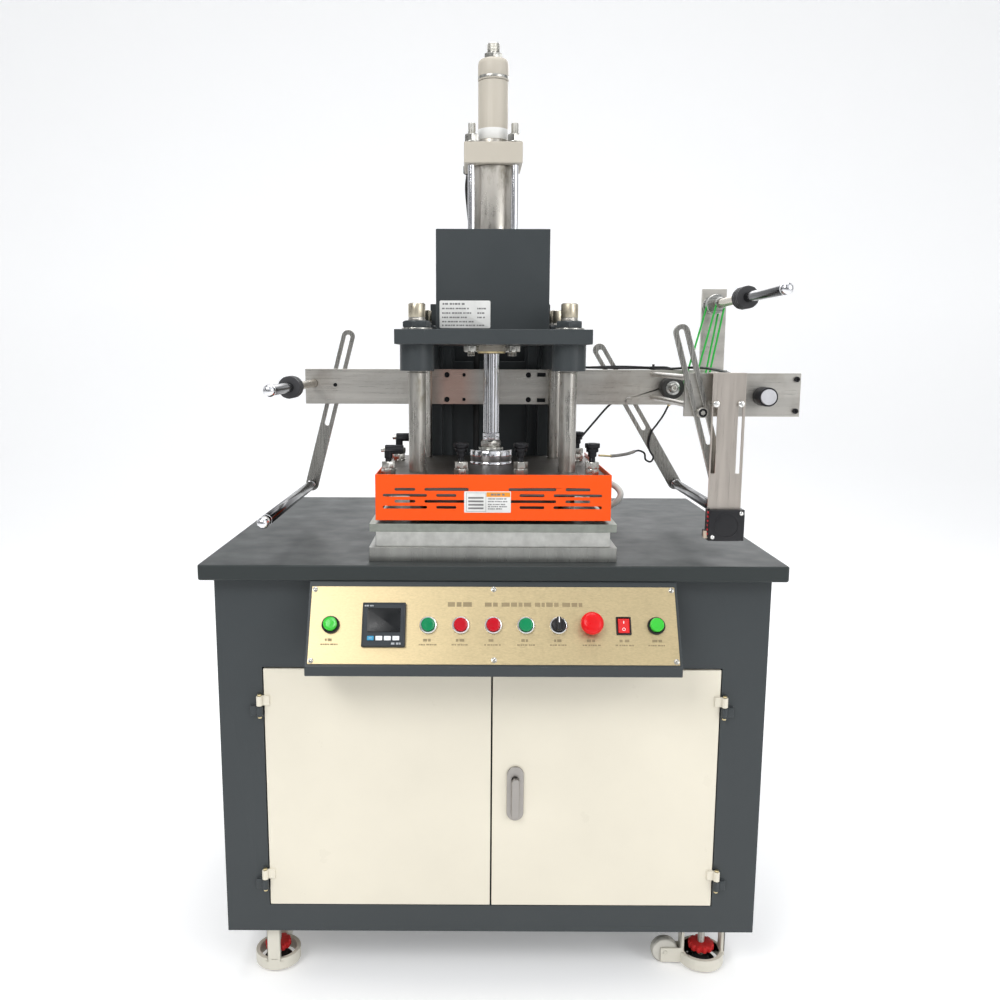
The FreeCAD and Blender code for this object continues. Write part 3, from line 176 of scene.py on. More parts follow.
class Recipe:
    """One procedural material, in object coordinates, with short calls for its nodes."""

    def __init__(self, name, colour, roughness=0.5, metallic=0.0, coat=0.0):
        self.material = bpy.data.materials.new(name)
        self.material.use_nodes = True
        self.tree = self.material.node_tree
        self.shader = self.tree.nodes["Principled BSDF"]
        self.colour = (*colour, 1.0)
        self.shader.inputs["Base Color"].default_value = self.colour
        self.shader.inputs["Roughness"].default_value = roughness
        self.shader.inputs["Metallic"].default_value = metallic
        self.shader.inputs["Coat Weight"].default_value = coat
        if not metallic:
            self.shader.inputs["Specular IOR Level"].default_value = 0.28
        self.where = self.add("ShaderNodeTexCoord").outputs["Object"]
        self.last_normal = None

    def add(self, kind, **inputs):
        """A node; a keyword names an input socket by its label, with _ for a space."""
        node = self.tree.nodes.new(kind)
        for label, value in inputs.items():
            self.feed(node.inputs[label.replace("_", " ")], value)
        return node

    def feed(self, socket, value):
        if isinstance(value, bpy.types.NodeSocket):
            self.tree.links.new(value, socket)
        else:
            socket.default_value = value

    def stretched(self, scale):
        node = self.add("ShaderNodeMapping", Vector=self.where)
        node.inputs["Scale"].default_value = scale
        return node.outputs["Vector"]

    def noise(self, scale, detail=4.0, stretch=None, rough=0.55):
        vector = self.stretched(stretch) if stretch else self.where
        node = self.add("ShaderNodeTexNoise", Vector=vector, Scale=float(scale), Detail=float(detail),
            Roughness=rough)
        return node.outputs["Fac"]

    def cells(self, scale, stretch=None):
        vector = self.stretched(stretch) if stretch else self.where
        return self.add("ShaderNodeTexVoronoi", Vector=vector, Scale=float(scale)).outputs["Distance"]

    def ramp(self, value, low, high, to_low=0.0, to_high=1.0):
        node = self.add("ShaderNodeMapRange", Value=value)
        for label, number in (("From Min", low), ("From Max", high), ("To Min", to_low), ("To Max", to_high)):
            node.inputs[label].default_value = number
        return node.outputs["Result"]

    def math(self, operation, first, second=0.0, clamp=True):
        node = self.tree.nodes.new("ShaderNodeMath")
        node.operation, node.use_clamp = operation, clamp
        self.feed(node.inputs[0], first)
        self.feed(node.inputs[1], second)
        return node.outputs[0]

    def blend(self, factor, first, second):
        """Two colours, or a colour over what the shader has now, mixed by a mask."""
        node = self.tree.nodes.new("ShaderNodeMix")
        node.data_type = "RGBA"
        self.feed(node.inputs[0], factor)
        self.feed(node.inputs[6], first)
        self.feed(node.inputs[7], second)
        return node.outputs[2]

    def tint(self, factor, colour):
        """Lay a colour over the base colour wherever the mask is high."""
        base = self.shader.inputs["Base Color"]
        under = base.links[0].from_socket if base.is_linked else self.colour
        self.feed(base, self.blend(factor, under, (*colour, 1.0)))

    def vary(self, value, amount):
        """Darken and lighten the base colour by a noise."""
        shade = [max(0.0, c * (1 - amount)) for c in self.colour[:3]]
        light = [min(1.0, c * (1 + amount)) for c in self.colour[:3]]
        mask = self.ramp(value, 0.3, 0.7)
        self.feed(self.shader.inputs["Base Color"], self.blend(mask, (*shade, 1.0), (*light, 1.0)))

    def rough(self, value, low, high):
        self.feed(self.shader.inputs["Roughness"], self.ramp(value, 0.3, 0.7, low, high))

    def bump(self, height, strength, distance=0.0005):
        node = self.add("ShaderNodeBump", Height=height, Strength=strength, Distance=distance)
        if self.last_normal:
            self.feed(node.inputs["Normal"], self.last_normal)
        self.last_normal = node.outputs["Normal"]
        self.feed(self.shader.inputs["Normal"], self.last_normal)

    def edges(self, radius):
        """A mask that is high on sharp outer and inner edges."""
        soft = self.add("ShaderNodeBevel", Radius=radius)
        soft.samples = 4
        hard = self.add("ShaderNodeNewGeometry")
        node = self.tree.nodes.new("ShaderNodeVectorMath")
        node.operation = "DOT_PRODUCT"
        self.feed(node.inputs[0], soft.outputs["Normal"])
        self.feed(node.inputs[1], hard.outputs["Normal"])
        return self.ramp(node.outputs["Value"], 0.995, 0.85)


def powder_coat(name, colour, peel=0.35, shine=0.42, wear=(0.5, 0.5, 0.5), wear_by=0.35):
    """Baked powder paint: orange peel, faint clouding, dust, and rubbed edges."""
    paint = Recipe(name, colour, roughness=shine)
    paint.vary(paint.noise(5, 5), 0.03)
    paint.rough(paint.noise(14, 6), shine - 0.07, shine + 0.08)
    paint.bump(paint.noise(420, 2), peel, 0.0004)
    chips = paint.ramp(paint.noise(90, 6), 0.52, 0.66)
    paint.tint(paint.math("MULTIPLY", paint.math("MULTIPLY", paint.edges(0.0012), chips), wear_by), wear)
    specks = paint.ramp(paint.noise(230, 3, rough=0.7), 0.72, 0.78, 0.0, 0.10)
    paint.tint(specks, wear)
    return paint.material


def grain(name, colour, along, shine=0.3, depth=0.3, fine=260.0, marks=0.25, stain=None, patch=None):
    """Metal with a grain along 'x', 'y' or 'z' and a painted highlight on its edges; a patch is (middle and
    reach on X in metres, colour).
    """
    metal = Recipe(name, colour, roughness=shine, metallic=1.0)
    stretch = [1.0, 1.0, 1.0]
    stretch["xyz".index(along)] = 0.012
    lines = metal.noise(fine * 4, 5, stretch=stretch, rough=0.7)
    broad = metal.noise(fine / 4, 4, stretch=stretch)
    metal.vary(broad, 0.12)
    metal.rough(lines, shine - 0.10, shine + 0.16)
    metal.bump(lines, depth, 0.0003)
    clouds = metal.ramp(metal.noise(11, 7, rough=0.65), 0.48, 0.68, 0.0, marks)
    metal.tint(clouds, stain or tuple(c * 0.62 for c in colour))
    # Painted highlight: edges lightened to 1.5 times the base colour, standing in for light caught along
    # them.
    metal.tint(metal.math("MULTIPLY", metal.edges(0.0010), 0.7), tuple(min(1.0, c * 1.5) for c in colour))
    if patch:
        middle, reach, tone = patch
        across = metal.add("ShaderNodeSeparateXYZ", Vector=metal.where).outputs["X"]
        away = metal.math("ABSOLUTE", metal.math("SUBTRACT", across, middle, clamp=False), clamp=False)
        metal.tint(metal.ramp(away, reach, reach * 0.3, 0.0, 0.8), tone)
    return metal.material


def polished(name, colour, shine=0.08):
    """Chromed or ground steel with finger marks and a few fine turning lines."""
    metal = Recipe(name, colour, roughness=shine, metallic=1.0)
    metal.rough(metal.noise(32, 6, rough=0.7), shine, shine + 0.12)
    metal.vary(metal.noise(18, 4), 0.05)
    metal.bump(metal.noise(900, 2), 0.03, 0.0002)
    return metal.material


def plastic(name, colour, shine=0.35, texture=0.15, coat=0.0):
    """Moulded plastic or rubber with a fine moulded texture and dulled patches."""
    skin = Recipe(name, colour, roughness=shine, coat=coat)
    skin.vary(skin.noise(40, 4), 0.08)
    skin.rough(skin.noise(55, 5), shine - 0.06, shine + 0.10)
    skin.bump(skin.noise(700, 2), texture, 0.0003)
    return skin.material


def mottled(name, colour, shine=0.4):
    """Sheet with a fine, faintly drawn speckle."""
    metal = Recipe(name, colour, roughness=shine, metallic=1.0)
    speck = metal.noise(520, 3, stretch=(0.35, 1.0, 1.0), rough=0.7)
    metal.vary(speck, 0.10)
    metal.rough(speck, shine - 0.05, shine + 0.10)
    metal.bump(speck, 0.12, 0.0002)
    metal.tint(metal.ramp(metal.noise(7, 5), 0.5, 0.7, 0.0, 0.16), tuple(c * 0.7 for c in colour))
    return metal.material


def greasy(name, colour, shine=0.28):
    """Ground columns under a patchy film of grease."""
    metal = Recipe(name, colour, roughness=shine, metallic=1.0)
    film = metal.noise(26, 7, stretch=(1.0, 1.0, 0.35), rough=0.68)
    metal.rough(film, shine - 0.14, shine + 0.28)
    metal.vary(metal.noise(9, 5), 0.12)
    metal.tint(metal.ramp(film, 0.52, 0.64, 0.0, 0.65), (0.20, 0.18, 0.13))
    metal.bump(film, 0.35, 0.0006)
    metal.bump(metal.noise(900, 2, stretch=(1, 1, 0.05)), 0.12, 0.0002)
    return metal.material


def braided(name, colour):
    """Woven metal sleeving over a lead."""
    sleeve = Recipe(name, colour, roughness=0.42, metallic=0.7)
    weave = sleeve.cells(900)
    sleeve.vary(sleeve.noise(120, 3), 0.25)
    sleeve.bump(weave, 0.9, 0.0012)
    sleeve.tint(sleeve.ramp(weave, 0.35, 0.6, 0.0, 0.6), (0.10, 0.10, 0.10))
    return sleeve.material


def glowing_print(name, colour, strength):
    """A printed mark with a painted glow: its faint emission makes it brighter than the lights alone make it.
    """
    mark = Recipe(name, colour, roughness=0.25)
    # Painted glow: the mark is no lamp, yet it emits its own colour.
    mark.shader.inputs["Emission Color"].default_value = (*colour, 1.0)
    mark.shader.inputs["Emission Strength"].default_value = strength
    mark.vary(mark.noise(300, 3), 0.12)
    return mark.material


def make_materials():
    """Every look by name: the maker, then each name with the maker's settings in their order."""
    looks = {
        powder_coat: {
            "body_grey": ((0.046, 0.053, 0.056), 0.3, 0.36),
            "table_grey": ((0.030, 0.036, 0.036), 0.12, 0.46),
            "door_cream": ((0.76, 0.71, 0.59), 0.12, 0.34, (0.35, 0.33, 0.28), 0.5),
            "guard_orange": ((0.88, 0.085, 0.003), 0.16, 0.33, (0.30, 0.07, 0.02), 0.7),
            "cylinder_paint": ((0.50, 0.46, 0.39), 0.2, 0.4),
            "caster_cream": ((0.70, 0.67, 0.58), 0.5, 0.4, (0.2, 0.19, 0.16), 0.6),
            "motor_grey": ((0.12, 0.13, 0.14),),
            "tank_grey": ((0.16, 0.18, 0.20),),
        },
        grain: {
            "bright_steel": ((0.44, 0.44, 0.42), "x", 0.26, 0.22),
            "base_steel": ((0.34, 0.34, 0.32), "z", 0.32, 0.5, 190, 0.3),
            "bed_alloy": ((0.56, 0.56, 0.53), "y", 0.42, 0.2, 260, 0.3),
            "mill_aluminium": ((0.54, 0.52, 0.48), "x", 0.33, 0.14, 260, 0.5, (0.33, 0.29, 0.25)),
            "bar_alloy": ((0.56, 0.54, 0.50), "x", 0.33, 0.12, 260, 0.5, (0.36, 0.31, 0.27),
                (-0.075, 0.055, (0.62, 0.40, 0.33))),
            "bracket_steel": ((0.54, 0.49, 0.44), "z", 0.34, 0.10, 260, 0.15),
            "link_steel": ((0.42, 0.41, 0.38), "z", 0.24, 0.25, 260, 0.3),
            "heater_alloy": ((0.14, 0.13, 0.12), "x", 0.45, 0.3, 260, 0.5, (0.07, 0.05, 0.04)),
            "plate_steel": ((0.34, 0.36, 0.32), "y", 0.36, 0.25, 260, 0.4),
        },
        polished: {
            "lock_grey": ((0.36, 0.34, 0.32), 0.3),
            "chrome": ((0.78, 0.78, 0.80),),
            "zinc_bolts": ((0.54, 0.53, 0.49), 0.22),
            "yellow_zinc": ((0.72, 0.60, 0.34), 0.26),
            "black_oxide": ((0.030, 0.030, 0.032), 0.34),
            "satin_ring": ((0.74, 0.75, 0.76), 0.24),
            "shaft_dark": ((0.04, 0.04, 0.045), 0.10),
            "shaft_warm": ((0.46, 0.42, 0.35), 0.16),
            "pale_screw": ((0.86, 0.86, 0.84), 0.22),
        },
        plastic: {
            "black_plastic": ((0.018, 0.018, 0.020), 0.36),
            "button_green": ((0.0, 0.21, 0.075), 0.28, 0.03, 0.1),
            "button_red": ((0.46, 0.0, 0.010), 0.28, 0.03, 0.1),
            "button_grey": ((0.50, 0.50, 0.52), 0.26, 0.03),
            "foot_black": ((0.022, 0.022, 0.022), 0.6, 0.3),
            "wheel_red": ((0.55, 0.02, 0.02), 0.36),
            "wheel_nylon": ((0.62, 0.60, 0.54), 0.5),
            "roller_rubber": ((0.040, 0.040, 0.038), 0.55, 0.35),
            "roller_green": ((0.04, 0.30, 0.10), 0.4),
            "belt_green": ((0.03, 0.42, 0.06), 0.34, 0.1),
            "plate_white": ((0.72, 0.72, 0.70), 0.4, 0.05),
            "plate_print": ((0.20, 0.20, 0.20), 0.5, 0.05),
            "plate_orange": ((0.80, 0.30, 0.03), 0.4, 0.05),
            "screen_glass": ((0.006, 0.007, 0.008), 0.30, 0.0),
            "key_blue": ((0.05, 0.30, 0.50), 0.4, 0.05),
            "key_pale": ((0.82, 0.84, 0.86), 0.4, 0.05),
            "wire_black": ((0.015, 0.015, 0.016), 0.42, 0.05),
            "wire_red": ((0.55, 0.02, 0.03), 0.4, 0.05),
            "wire_pale": ((0.68, 0.68, 0.64), 0.45, 0.2),
            "rocker_red": ((0.70, 0.02, 0.02), 0.16, 0.02, 0.4),
            "lamp_green": ((0.04, 0.52, 0.04), 0.2, 0.03, 0.3),
            "stop_red": ((0.72, 0.003, 0.006), 0.32, 0.03, 0.1),
            "controller_grey": ((0.030, 0.036, 0.042), 0.45),
            "engraved": ((0.29, 0.23, 0.13), 0.6, 0.05),
            "mark_dim": ((0.42, 0.44, 0.46), 0.5, 0.05),
            "disc_rubber": ((0.045, 0.045, 0.048), 0.5, 0.35),
            "plug_beige": ((0.55, 0.46, 0.36), 0.4),
        },
        greasy: {
            "oiled_steel": ((0.50, 0.48, 0.44),),
            "barrel_steel": ((0.56, 0.53, 0.48), 0.3),
            "column_brass": ((0.60, 0.54, 0.42), 0.26),
        },
        mottled: {
            "panel_steel": ((0.60, 0.49, 0.29), 0.40),
        },
        braided: {
            "braid": ((0.46, 0.45, 0.42),),
        },
        # mark_white carries a painted glow, not a lamp.
        glowing_print: {
            "mark_white": ((0.85, 0.85, 0.85), 0.15),
        },
    }
    return {name: maker(name, *settings) for maker, named in looks.items() for name,
        settings in named.items()}


# ---------------------------------------------------------------- mesh tools


WORLD = Matrix.Identity(4)
PANEL = Matrix.Translation((0, -0.397, 0.754)) @ Matrix.Rotation(math.radians(59.18), 4, "X")


def facing(y):
    """Local X, Y and Z as the machine's X, Z and -Y, on the plane at this Y in millimetres."""
    return Matrix.Translation((0, y * MM, 0)) @ Matrix.Rotation(math.pi / 2, 4, "X")


def body_name(node):
    return body_of(frame["nodes"][node])[0]


def mesh_object(name, bm, material, body, smooth=40.0, place=WORLD, scale=MM):
    """Turn a bmesh into a piece with one material, riding on a CAD body."""
    bm.transform(place @ Matrix.Scale(scale, 4))
    mesh = bpy.data.meshes.new(name)
    bmesh.ops.recalc_face_normals(bm, faces=bm.faces)
    bm.to_mesh(mesh)
    bm.free()
    mesh.shade_smooth()
    mesh.set_sharp_from_angle(angle=math.radians(smooth))
    mesh.materials.append(MATERIAL[material])
    piece = bpy.data.objects.new(name, mesh)
    bpy.context.scene.collection.objects.link(piece)
    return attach(piece, body) if body else piece


def add_bevel(piece, width, segments=2, angle=35.0):
    bevel = piece.modifiers.new("bevel", "BEVEL")
    bevel.width, bevel.segments = width, segments
    bevel.limit_method, bevel.angle_limit = "ANGLE", math.radians(angle)
    bevel.use_clamp_overlap, bevel.harden_normals = False, True
    return piece


def rounded(node, material, width=0.6, segments=2, angle=35.0):
    """A copy of a CAD node with its flat faces merged and its edges rounded, in its place."""
    source = frame["nodes"][node]
    bm = bmesh.new()
    bm.from_mesh(source.data)
    bmesh.ops.remove_doubles(bm, verts=bm.verts, dist=1e-6)
    bmesh.ops.dissolve_limit(bm, angle_limit=math.radians(0.4), verts=bm.verts, edges=bm.edges)
    piece = mesh_object(f"{node}_skin", bm, material, body_name(node), smooth=angle, scale=1.0)
    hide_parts(node)
    return add_bevel(piece, width * MM, segments, angle)


def recolour(piece, material, wanted):
    """Give the faces whose centre, in millimetres, passes a test another material."""
    piece.data.materials.append(MATERIAL[material])
    index = len(piece.data.materials) - 1
    for face in piece.data.polygons:
        if wanted(*(face.center / MM)):
            face.material_index = index


def paint(node, material):
    """Give a CAD node, left as it is, its finished material."""
    data = frame["nodes"][node].data
    data.materials.clear()
    data.materials.append(MATERIAL[material])
    data.shade_smooth()
    data.set_sharp_from_angle(angle=math.radians(35))


UNITS = [Vector(row) for row in Matrix.Identity(3)]
AXES = {letter: UNITS[i:] + UNITS[:i] for i, letter in enumerate("xyz")}


def triad(axis):
    """Unit vectors along an axis and across it; axis is a letter or a direction."""
    if axis in AXES:
        return AXES[axis]
    along = Vector(axis).normalized()
    first = along.orthogonal().normalized()
    return along, first, along.cross(first)


def ring_of(bm, base, axes, along, radius, count, turn=0.0, wobble=None):
    """A ring of vertices; wobble(i) scales the radius of vertex i."""
    way, first, second = axes
    ring = []
    for i in range(count):
        angle = turn + math.tau * i / count
        reach = radius * (wobble(i) if wobble else 1.0)
        out = first * math.cos(angle) + second * math.sin(angle)
        ring.append(bm.verts.new(base + way * along + out * reach))
    return ring


def skin_rings(bm, rings, closed=False):
    """Faces from each ring to the next, with an end face at both ends or back to the first ring."""
    for low, high in zip(rings, rings[1:] + rings[:1] if closed else rings[1:]):
        for i in range(len(low)):
            j = (i + 1) % len(low)
            bm.faces.new((low[i], low[j], high[j], high[i]))
    if not closed:
        bm.faces.new(list(reversed(rings[0])))
        bm.faces.new(rings[-1])


def turned(name, axis, base, profile, material, body="frame", count=48, wobble=None, closed=False,
        place=WORLD):
    """A turned piece from (radius, distance along the axis) points."""
    bm = bmesh.new()
    axes, base = triad(axis), Vector(base)
    rings = [ring_of(bm, base, axes, along, radius, count, wobble=wobble) for radius, along in profile]
    skin_rings(bm, rings, closed)
    return mesh_object(name, bm, material, body, place=place)


def chamfered(radius, low, high, edge):
    """Profile of a plain disc or bar with a small rounded edge at both ends."""
    return [(radius - edge, low), (radius - edge * 0.3, low + edge * 0.3), (radius, low + edge),
        (radius, high - edge), (radius - edge * 0.3, high - edge * 0.3), (radius - edge, high)]


def ringed(outer, inner, low, high, edge):
    """Closed profile of a washer or tube with its outer edges rounded."""
    return [*chamfered(outer, low, high, edge), (inner, high), (inner, low)]


def washer(name, axis, base, ring, material, body="frame", **rest):
    """A washer, band or short tube: outer and inner radius, both ends, and the rounding of its edges."""
    return turned(name, axis, base, ringed(*ring), material, body, closed=True, **rest)


def knurl(depth, step=2):
    return lambda i: 1.0 - (depth if i % step else 0.0)


def thread(radius, low, high, pitch):
    """Profile of a thread, seen from the side, as one rise and fall per pitch."""
    profile = [(radius * 0.6, low), (radius * 0.92, low)]
    for i in range(int((high - low) / pitch)):
        start = low + pitch * i
        profile += [(radius * 0.92, start + pitch * 0.15), (radius, start + pitch * 0.5)]
    return [*profile, (radius * 0.9, high - pitch * 0.2), (radius * 0.72, high)]


def off_flat(i, count):
    """Angle from the middle of a hexagon's nearest flat, for vertex i of a ring."""
    return (math.tau * i / count) % (math.pi / 3) - math.pi / 6


def hex_nut(name, axis, base, across, thick, bore, material, body="frame", turn=0.0, place=WORLD):
    """A nut with chamfered corners and a bored, countersunk hole."""
    bm = bmesh.new()
    axes, base = triad(axis), Vector(base)
    outer, flat, count = across / math.sqrt(3), across / 2, 36

    def cornered(limit):
        return lambda i: min(flat / math.cos(off_flat(i, count)), limit) / outer

    edge = across * 0.05
    steps = [(0.0, flat * 0.985), (edge, outer), (thick - edge, outer), (thick, flat * 0.985)]
    rings = [ring_of(bm, base, axes, along, outer, count, turn, cornered(limit)) for along, limit in steps]
    for radius, along in ((bore * 1.15, thick), (bore, thick - bore * 0.15), (bore, 0.0)):
        rings.append(ring_of(bm, base, axes, along, radius, count, turn))
    skin_rings(bm, rings, closed=True)
    return mesh_object(name, bm, material, body, smooth=25, place=place)


def hexagonal(count):
    return lambda i: math.cos(math.pi / 6) / math.cos(off_flat(i, count))


def socket_screw(name, axis, base, radius, thick, material, body="frame", place=WORLD):
    """A socket head: knurled rim, rounded top edge and a hexagonal recess; it stands out along axis."""
    bm = bmesh.new()
    axes, base, count = triad(axis), Vector(base), 48
    ridged, six = knurl(0.035), hexagonal(count)
    steps = [(0.0, 1.0, ridged), (0.82, 1.0, ridged), (0.95, 0.96, None), (1.0, 0.86, None),
        (1.0, 0.60, None), (0.95, 0.54, six), (0.35, 0.54, six)]
    skin_rings(bm, [ring_of(bm, base, axes, thick * rise, radius * share, count, wobble=shape) for rise,
        share, shape in steps])
    return mesh_object(name, bm, material, body, place=place)


def slotted_screw(name, axis, base, radius, thick, material, body="frame", turn=0.6, place=WORLD):
    """A domed head with a cut slot, standing out along its axis."""
    bm = bmesh.new()
    axes, base = triad(axis), Vector(base)
    way, first, second = axes
    steps = ((1.0, 0.0), (1.0, 0.35), (0.92, 0.65), (0.72, 0.88), (0.42, 1.0), (0.16, 1.0))
    skin_rings(bm, [ring_of(bm, base, axes, thick * rise, radius * share, 40) for share, rise in steps])
    slit = first * math.cos(turn) + second * math.sin(turn)
    for vert in bm.verts:
        offset = vert.co - base
        if abs(offset.cross(way).dot(slit)) < radius * 0.17 and offset.dot(way) > thick * 0.5:
            vert.co -= way * thick * 0.5
    return mesh_object(name, bm, material, body, smooth=30, place=place)


def slab(name, low, high, material, body="frame", round_by=0.8, segments=2, place=WORLD):
    """A box between two corners with rounded edges."""
    bm = bmesh.new()
    bmesh.ops.create_cube(bm, size=1.0)
    low, high = Vector(low), Vector(high)
    for vert in bm.verts:
        vert.co = Vector((low[k] if vert.co[k] < 0 else high[k] for k in range(3)))
    bmesh.ops.bevel(bm, geom=bm.edges[:], offset=round_by, segments=segments, affect="EDGES", profile=0.6)
    return mesh_object(name, bm, material, body, place=place)


def plaque(name, centre, steps, material, body="frame", closed=False, place=WORLD):
    """Rounded rectangles, each (half width, half height, corner, level), skinned one to the next."""
    bm, rings, (x, y) = bmesh.new(), [], centre
    for half_w, half_h, corner, level in steps:
        ring = []
        for quarter in range(4):
            cx = x + (half_w - corner) * (1 if quarter in (0, 3) else -1)
            cy = y + (half_h - corner) * (1 if quarter < 2 else -1)
            for i in range(5):
                angle = math.radians(90 * quarter + 22.5 * i)
                ring.append(bm.verts.new((cx + corner * math.cos(angle), cy + corner * math.sin(angle),
                    level)))
        rings.append(ring)
    skin_rings(bm, rings, closed)
    return mesh_object(name, bm, material, body, place=place)


def words(left, low, width, height, start):
    """Uneven short bars across a width, where the machine has a line of print."""
    bars, at, i = [], left, start
    while at < left + width - height:
        long = height * (0.7 + 1.3 * ((i * 0.618) % 1.0))
        bars.append((at, low, min(long, left + width - at), height))
        at += long + height * (0.9 if i % 4 == 3 else 0.35)
        i += 1
    return bars


def printed(name, bars, material, body, place, level=0.0, thick=0.12):
    """Thin raised bars, each (left, low, width, height), in one piece."""
    bm = bmesh.new()
    for left, low, width, height in bars:
        for vert in bmesh.ops.create_cube(bm, size=1.0)["verts"]:
            u, v, w = vert.co + Vector((0.5, 0.5, 0.5))
            vert.co = Vector((left + width * u, low + height * v, level + thick * w))
    return mesh_object(name, bm, material, body, place=place)


def wire(name, points, radius, material, body="frame", count=12, fine=8):
    """A round wire or hose along a smooth line through given points."""
    spots, line = [Vector(point) for point in points], []
    ends = [spots[0] * 2 - spots[1], *spots, spots[-1] * 2 - spots[-2]]
    for a, b, c, d in zip(ends, ends[1:], ends[2:], ends[3:]):
        for step in range(fine):
            t = step / fine
            curve = b * 2 + (c - a) * t + (a * 2 - b * 5 + c * 4 - d) * t**2
            line.append((curve + (b * 3 - a - c * 3 + d) * t**3) / 2)
    line.append(spots[-1])
    bm, rings, across = bmesh.new(), [], None
    for i, spot in enumerate(line):
        way = (line[min(i + 1, len(line) - 1)] - line[max(i - 1, 0)]).normalized()
        across = (across - way * across.dot(way) if across else way.orthogonal()).normalized()
        rings.append(ring_of(bm, spot, (way, across, way.cross(across)), 0.0, radius, count))
    skin_rings(bm, rings)
    return mesh_object(name, bm, material, body)


MATERIAL = {}

# Centre lines, in millimetres: the cylinder and ram, the two spool shafts, the feed's driven and
# pressing rollers, and the jog button on its plate.
RAM = (0, -117.5, 0)
UNWIND, REWIND = (-366, 0, 1082), (455, 0, 1244)
DRIVE, PINCH = (419.5, 0, 1076), (373, 0, 1076)
JOG = (446, 1074, 0)

# ---------------------------------------------------------------- cabinet


def cabinet():
    """Painted shell, table, doors with their lock, and what stands inside."""
    rounded("cabinet_shell", "body_grey", 1.0)
    rounded("table_top", "table_grey", 3.0, 4)
    rounded("left_door", "door_cream", 1.3, 3)
    right = rounded("right_door", "door_cream", 1.3, 3)
    recolour(right, "lock_grey", lambda x, y, z: y < -367.3 and 27 < x < 58 and 318 < z < 422)
    rounded("lock_handle", "lock_grey", 2.2, 3)
    rounded("control_box", "body_grey", 1.6, 3)
    rounded("hydraulic_unit", "tank_grey", 1.2)
    for side in (-1, 1):
        for low in (186, 514):
            at = (side * 407, -372, low)
            turned(f"hinge_pin_{side}_{low}", "z", at, [(1.5, -3.5), (3.6, -3), (3.6, -1), (2.4, 0),
                (2.4, 37), (3.6, 38), (3.6, 40), (1.5, 41)], "yellow_zinc")
    slits = [(-150 + 60 * i, 300 + 14 * k) for i in range(6) for k in range(7)]
    vent = facing(365) @ Matrix.Rotation(math.pi, 4, "Y")
    for i, (x, z) in enumerate(slits):
        plaque(f"louvre_{i}", (x, z), [(22, 3.4, 3.2, 0.0), (21, 2.6, 2.4, 3.2), (20, 1.2, 1.0, 3.6)],
            "body_grey", place=vent)


CORNERS = {f"{row}_{side}": (x, y) for row, y in (("front", -305), ("rear", 305))
    for side, x in (("left", -402), ("right", 402))}


def casters():
    """Cast housings, toothed red thumbwheels on threaded stems, and moulded pads."""
    for corner, (x, y) in CORNERS.items():
        rounded(f"caster_housing_{corner}", "caster_cream", 1.2)
        rounded(f"caster_wheel_{corner}", "wheel_nylon", 1.6, 3)
        turned(f"pad_{corner}", "z", (x, y, 0), [(25, 0), (27, 1.5), (27.3, 5), (26.2, 8.2),
            (22, 9.4), (16.4, 10), (15, 13), (14, 16), (8, 17)], "foot_black", count=56)
        turned(f"stem_{corner}", "z", (x, y, 0), thread(6.3, 15, 92, 2.4), "zinc_bolts", count=28)
        turned(f"thumbwheel_{corner}", "z", (x, y, 0), [(14, 30), (22.5, 30.6), (24, 32), (24, 41),
            (22.5, 42.4), (14, 43)], "wheel_red", count=60, wobble=lambda i: 1.0 if i % 5 < 3 else 0.86)
        plaque(f"flange_{corner}", (x, y), [(36, 36, 5, 95.0), (36, 36, 5, 98.4), (35.4, 35.4, 4.6, 99.0)],
            "zinc_bolts")
        for k in range(4):
            spot = (x + 27 * (-1) ** k, y + 27 * (-1) ** (k // 2), 95)
            slotted_screw(f"flange_screw_{corner}_{k}", (0, 0, -1), spot, 4.5, 2.6, "zinc_bolts")
    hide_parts("levelling_feet")


# ---------------------------------------------------------------- control panel


KEYS = (-202.5, -188.5, -174.5, -160.5)
SWITCH_ROW = {"left_start_button": -270, "pump_start_button": -108, "pump_stop_button": -54,
    "feed_stop_button": 0, "feed_start_button": 54, "right_start_button": 270}


def control_panel():
    """Brushed panel with its slotted screws, and bars where the machine has captions."""
    rounded("control_panel", "panel_steel", 0.5)
    corners = ((-299.5, 5.5), (299.5, 5.5), (-299.5, 127), (299.5, 127), (1, 4.7), (1, 125.3))
    for i, (x, down) in enumerate(corners):
        washer(f"panel_washer_{i}", "z", (x, -down, 2), (4.6, 2, 0, 0.5, 0.2), "zinc_bolts", count=32,
            place=PANEL)
        slotted_screw(f"panel_screw_{i}", "z", (x, -down, 2.4), 3.7, 1.9, "zinc_bolts", turn=0.4 + i,
            place=PANEL)
    bars = []
    for i, x in enumerate((-270, -108, -54, 0, 54, 108, 162, 216, 270)):
        bars += words(x - 8, -94.5, 16, 4.4, i)
        bars += words(x - 15, -101, 30, 2.4, i + 4)
    printed("captions", bars, "engraved", "frame", PANEL, level=2.0, thick=0.08)
    printed("heading", words(-76, -35, 46, 8, 1) + words(-14, -34.5, 172, 7, 6), "engraved", "frame", PANEL,
        level=2.0, thick=0.08)


def bezel(name, x, material):
    """The rounded collar of a switch with its neck and contact block behind the panel."""
    turned(f"{name}_bezel", "z", (x, -67, 0), [(9.2, -38), (10.9, -38), (10.9, 2), (14.75, 2),
        (14.8, 5.2), (14.2, 6.5), (13.2, 7.1), (12.2, 6.9), (11.8, 6.2), (11.7, 2.6), (10.3, 2.4), (10.2, -7),
        (9.2, -7.2)], material, count=64, closed=True, place=PANEL)


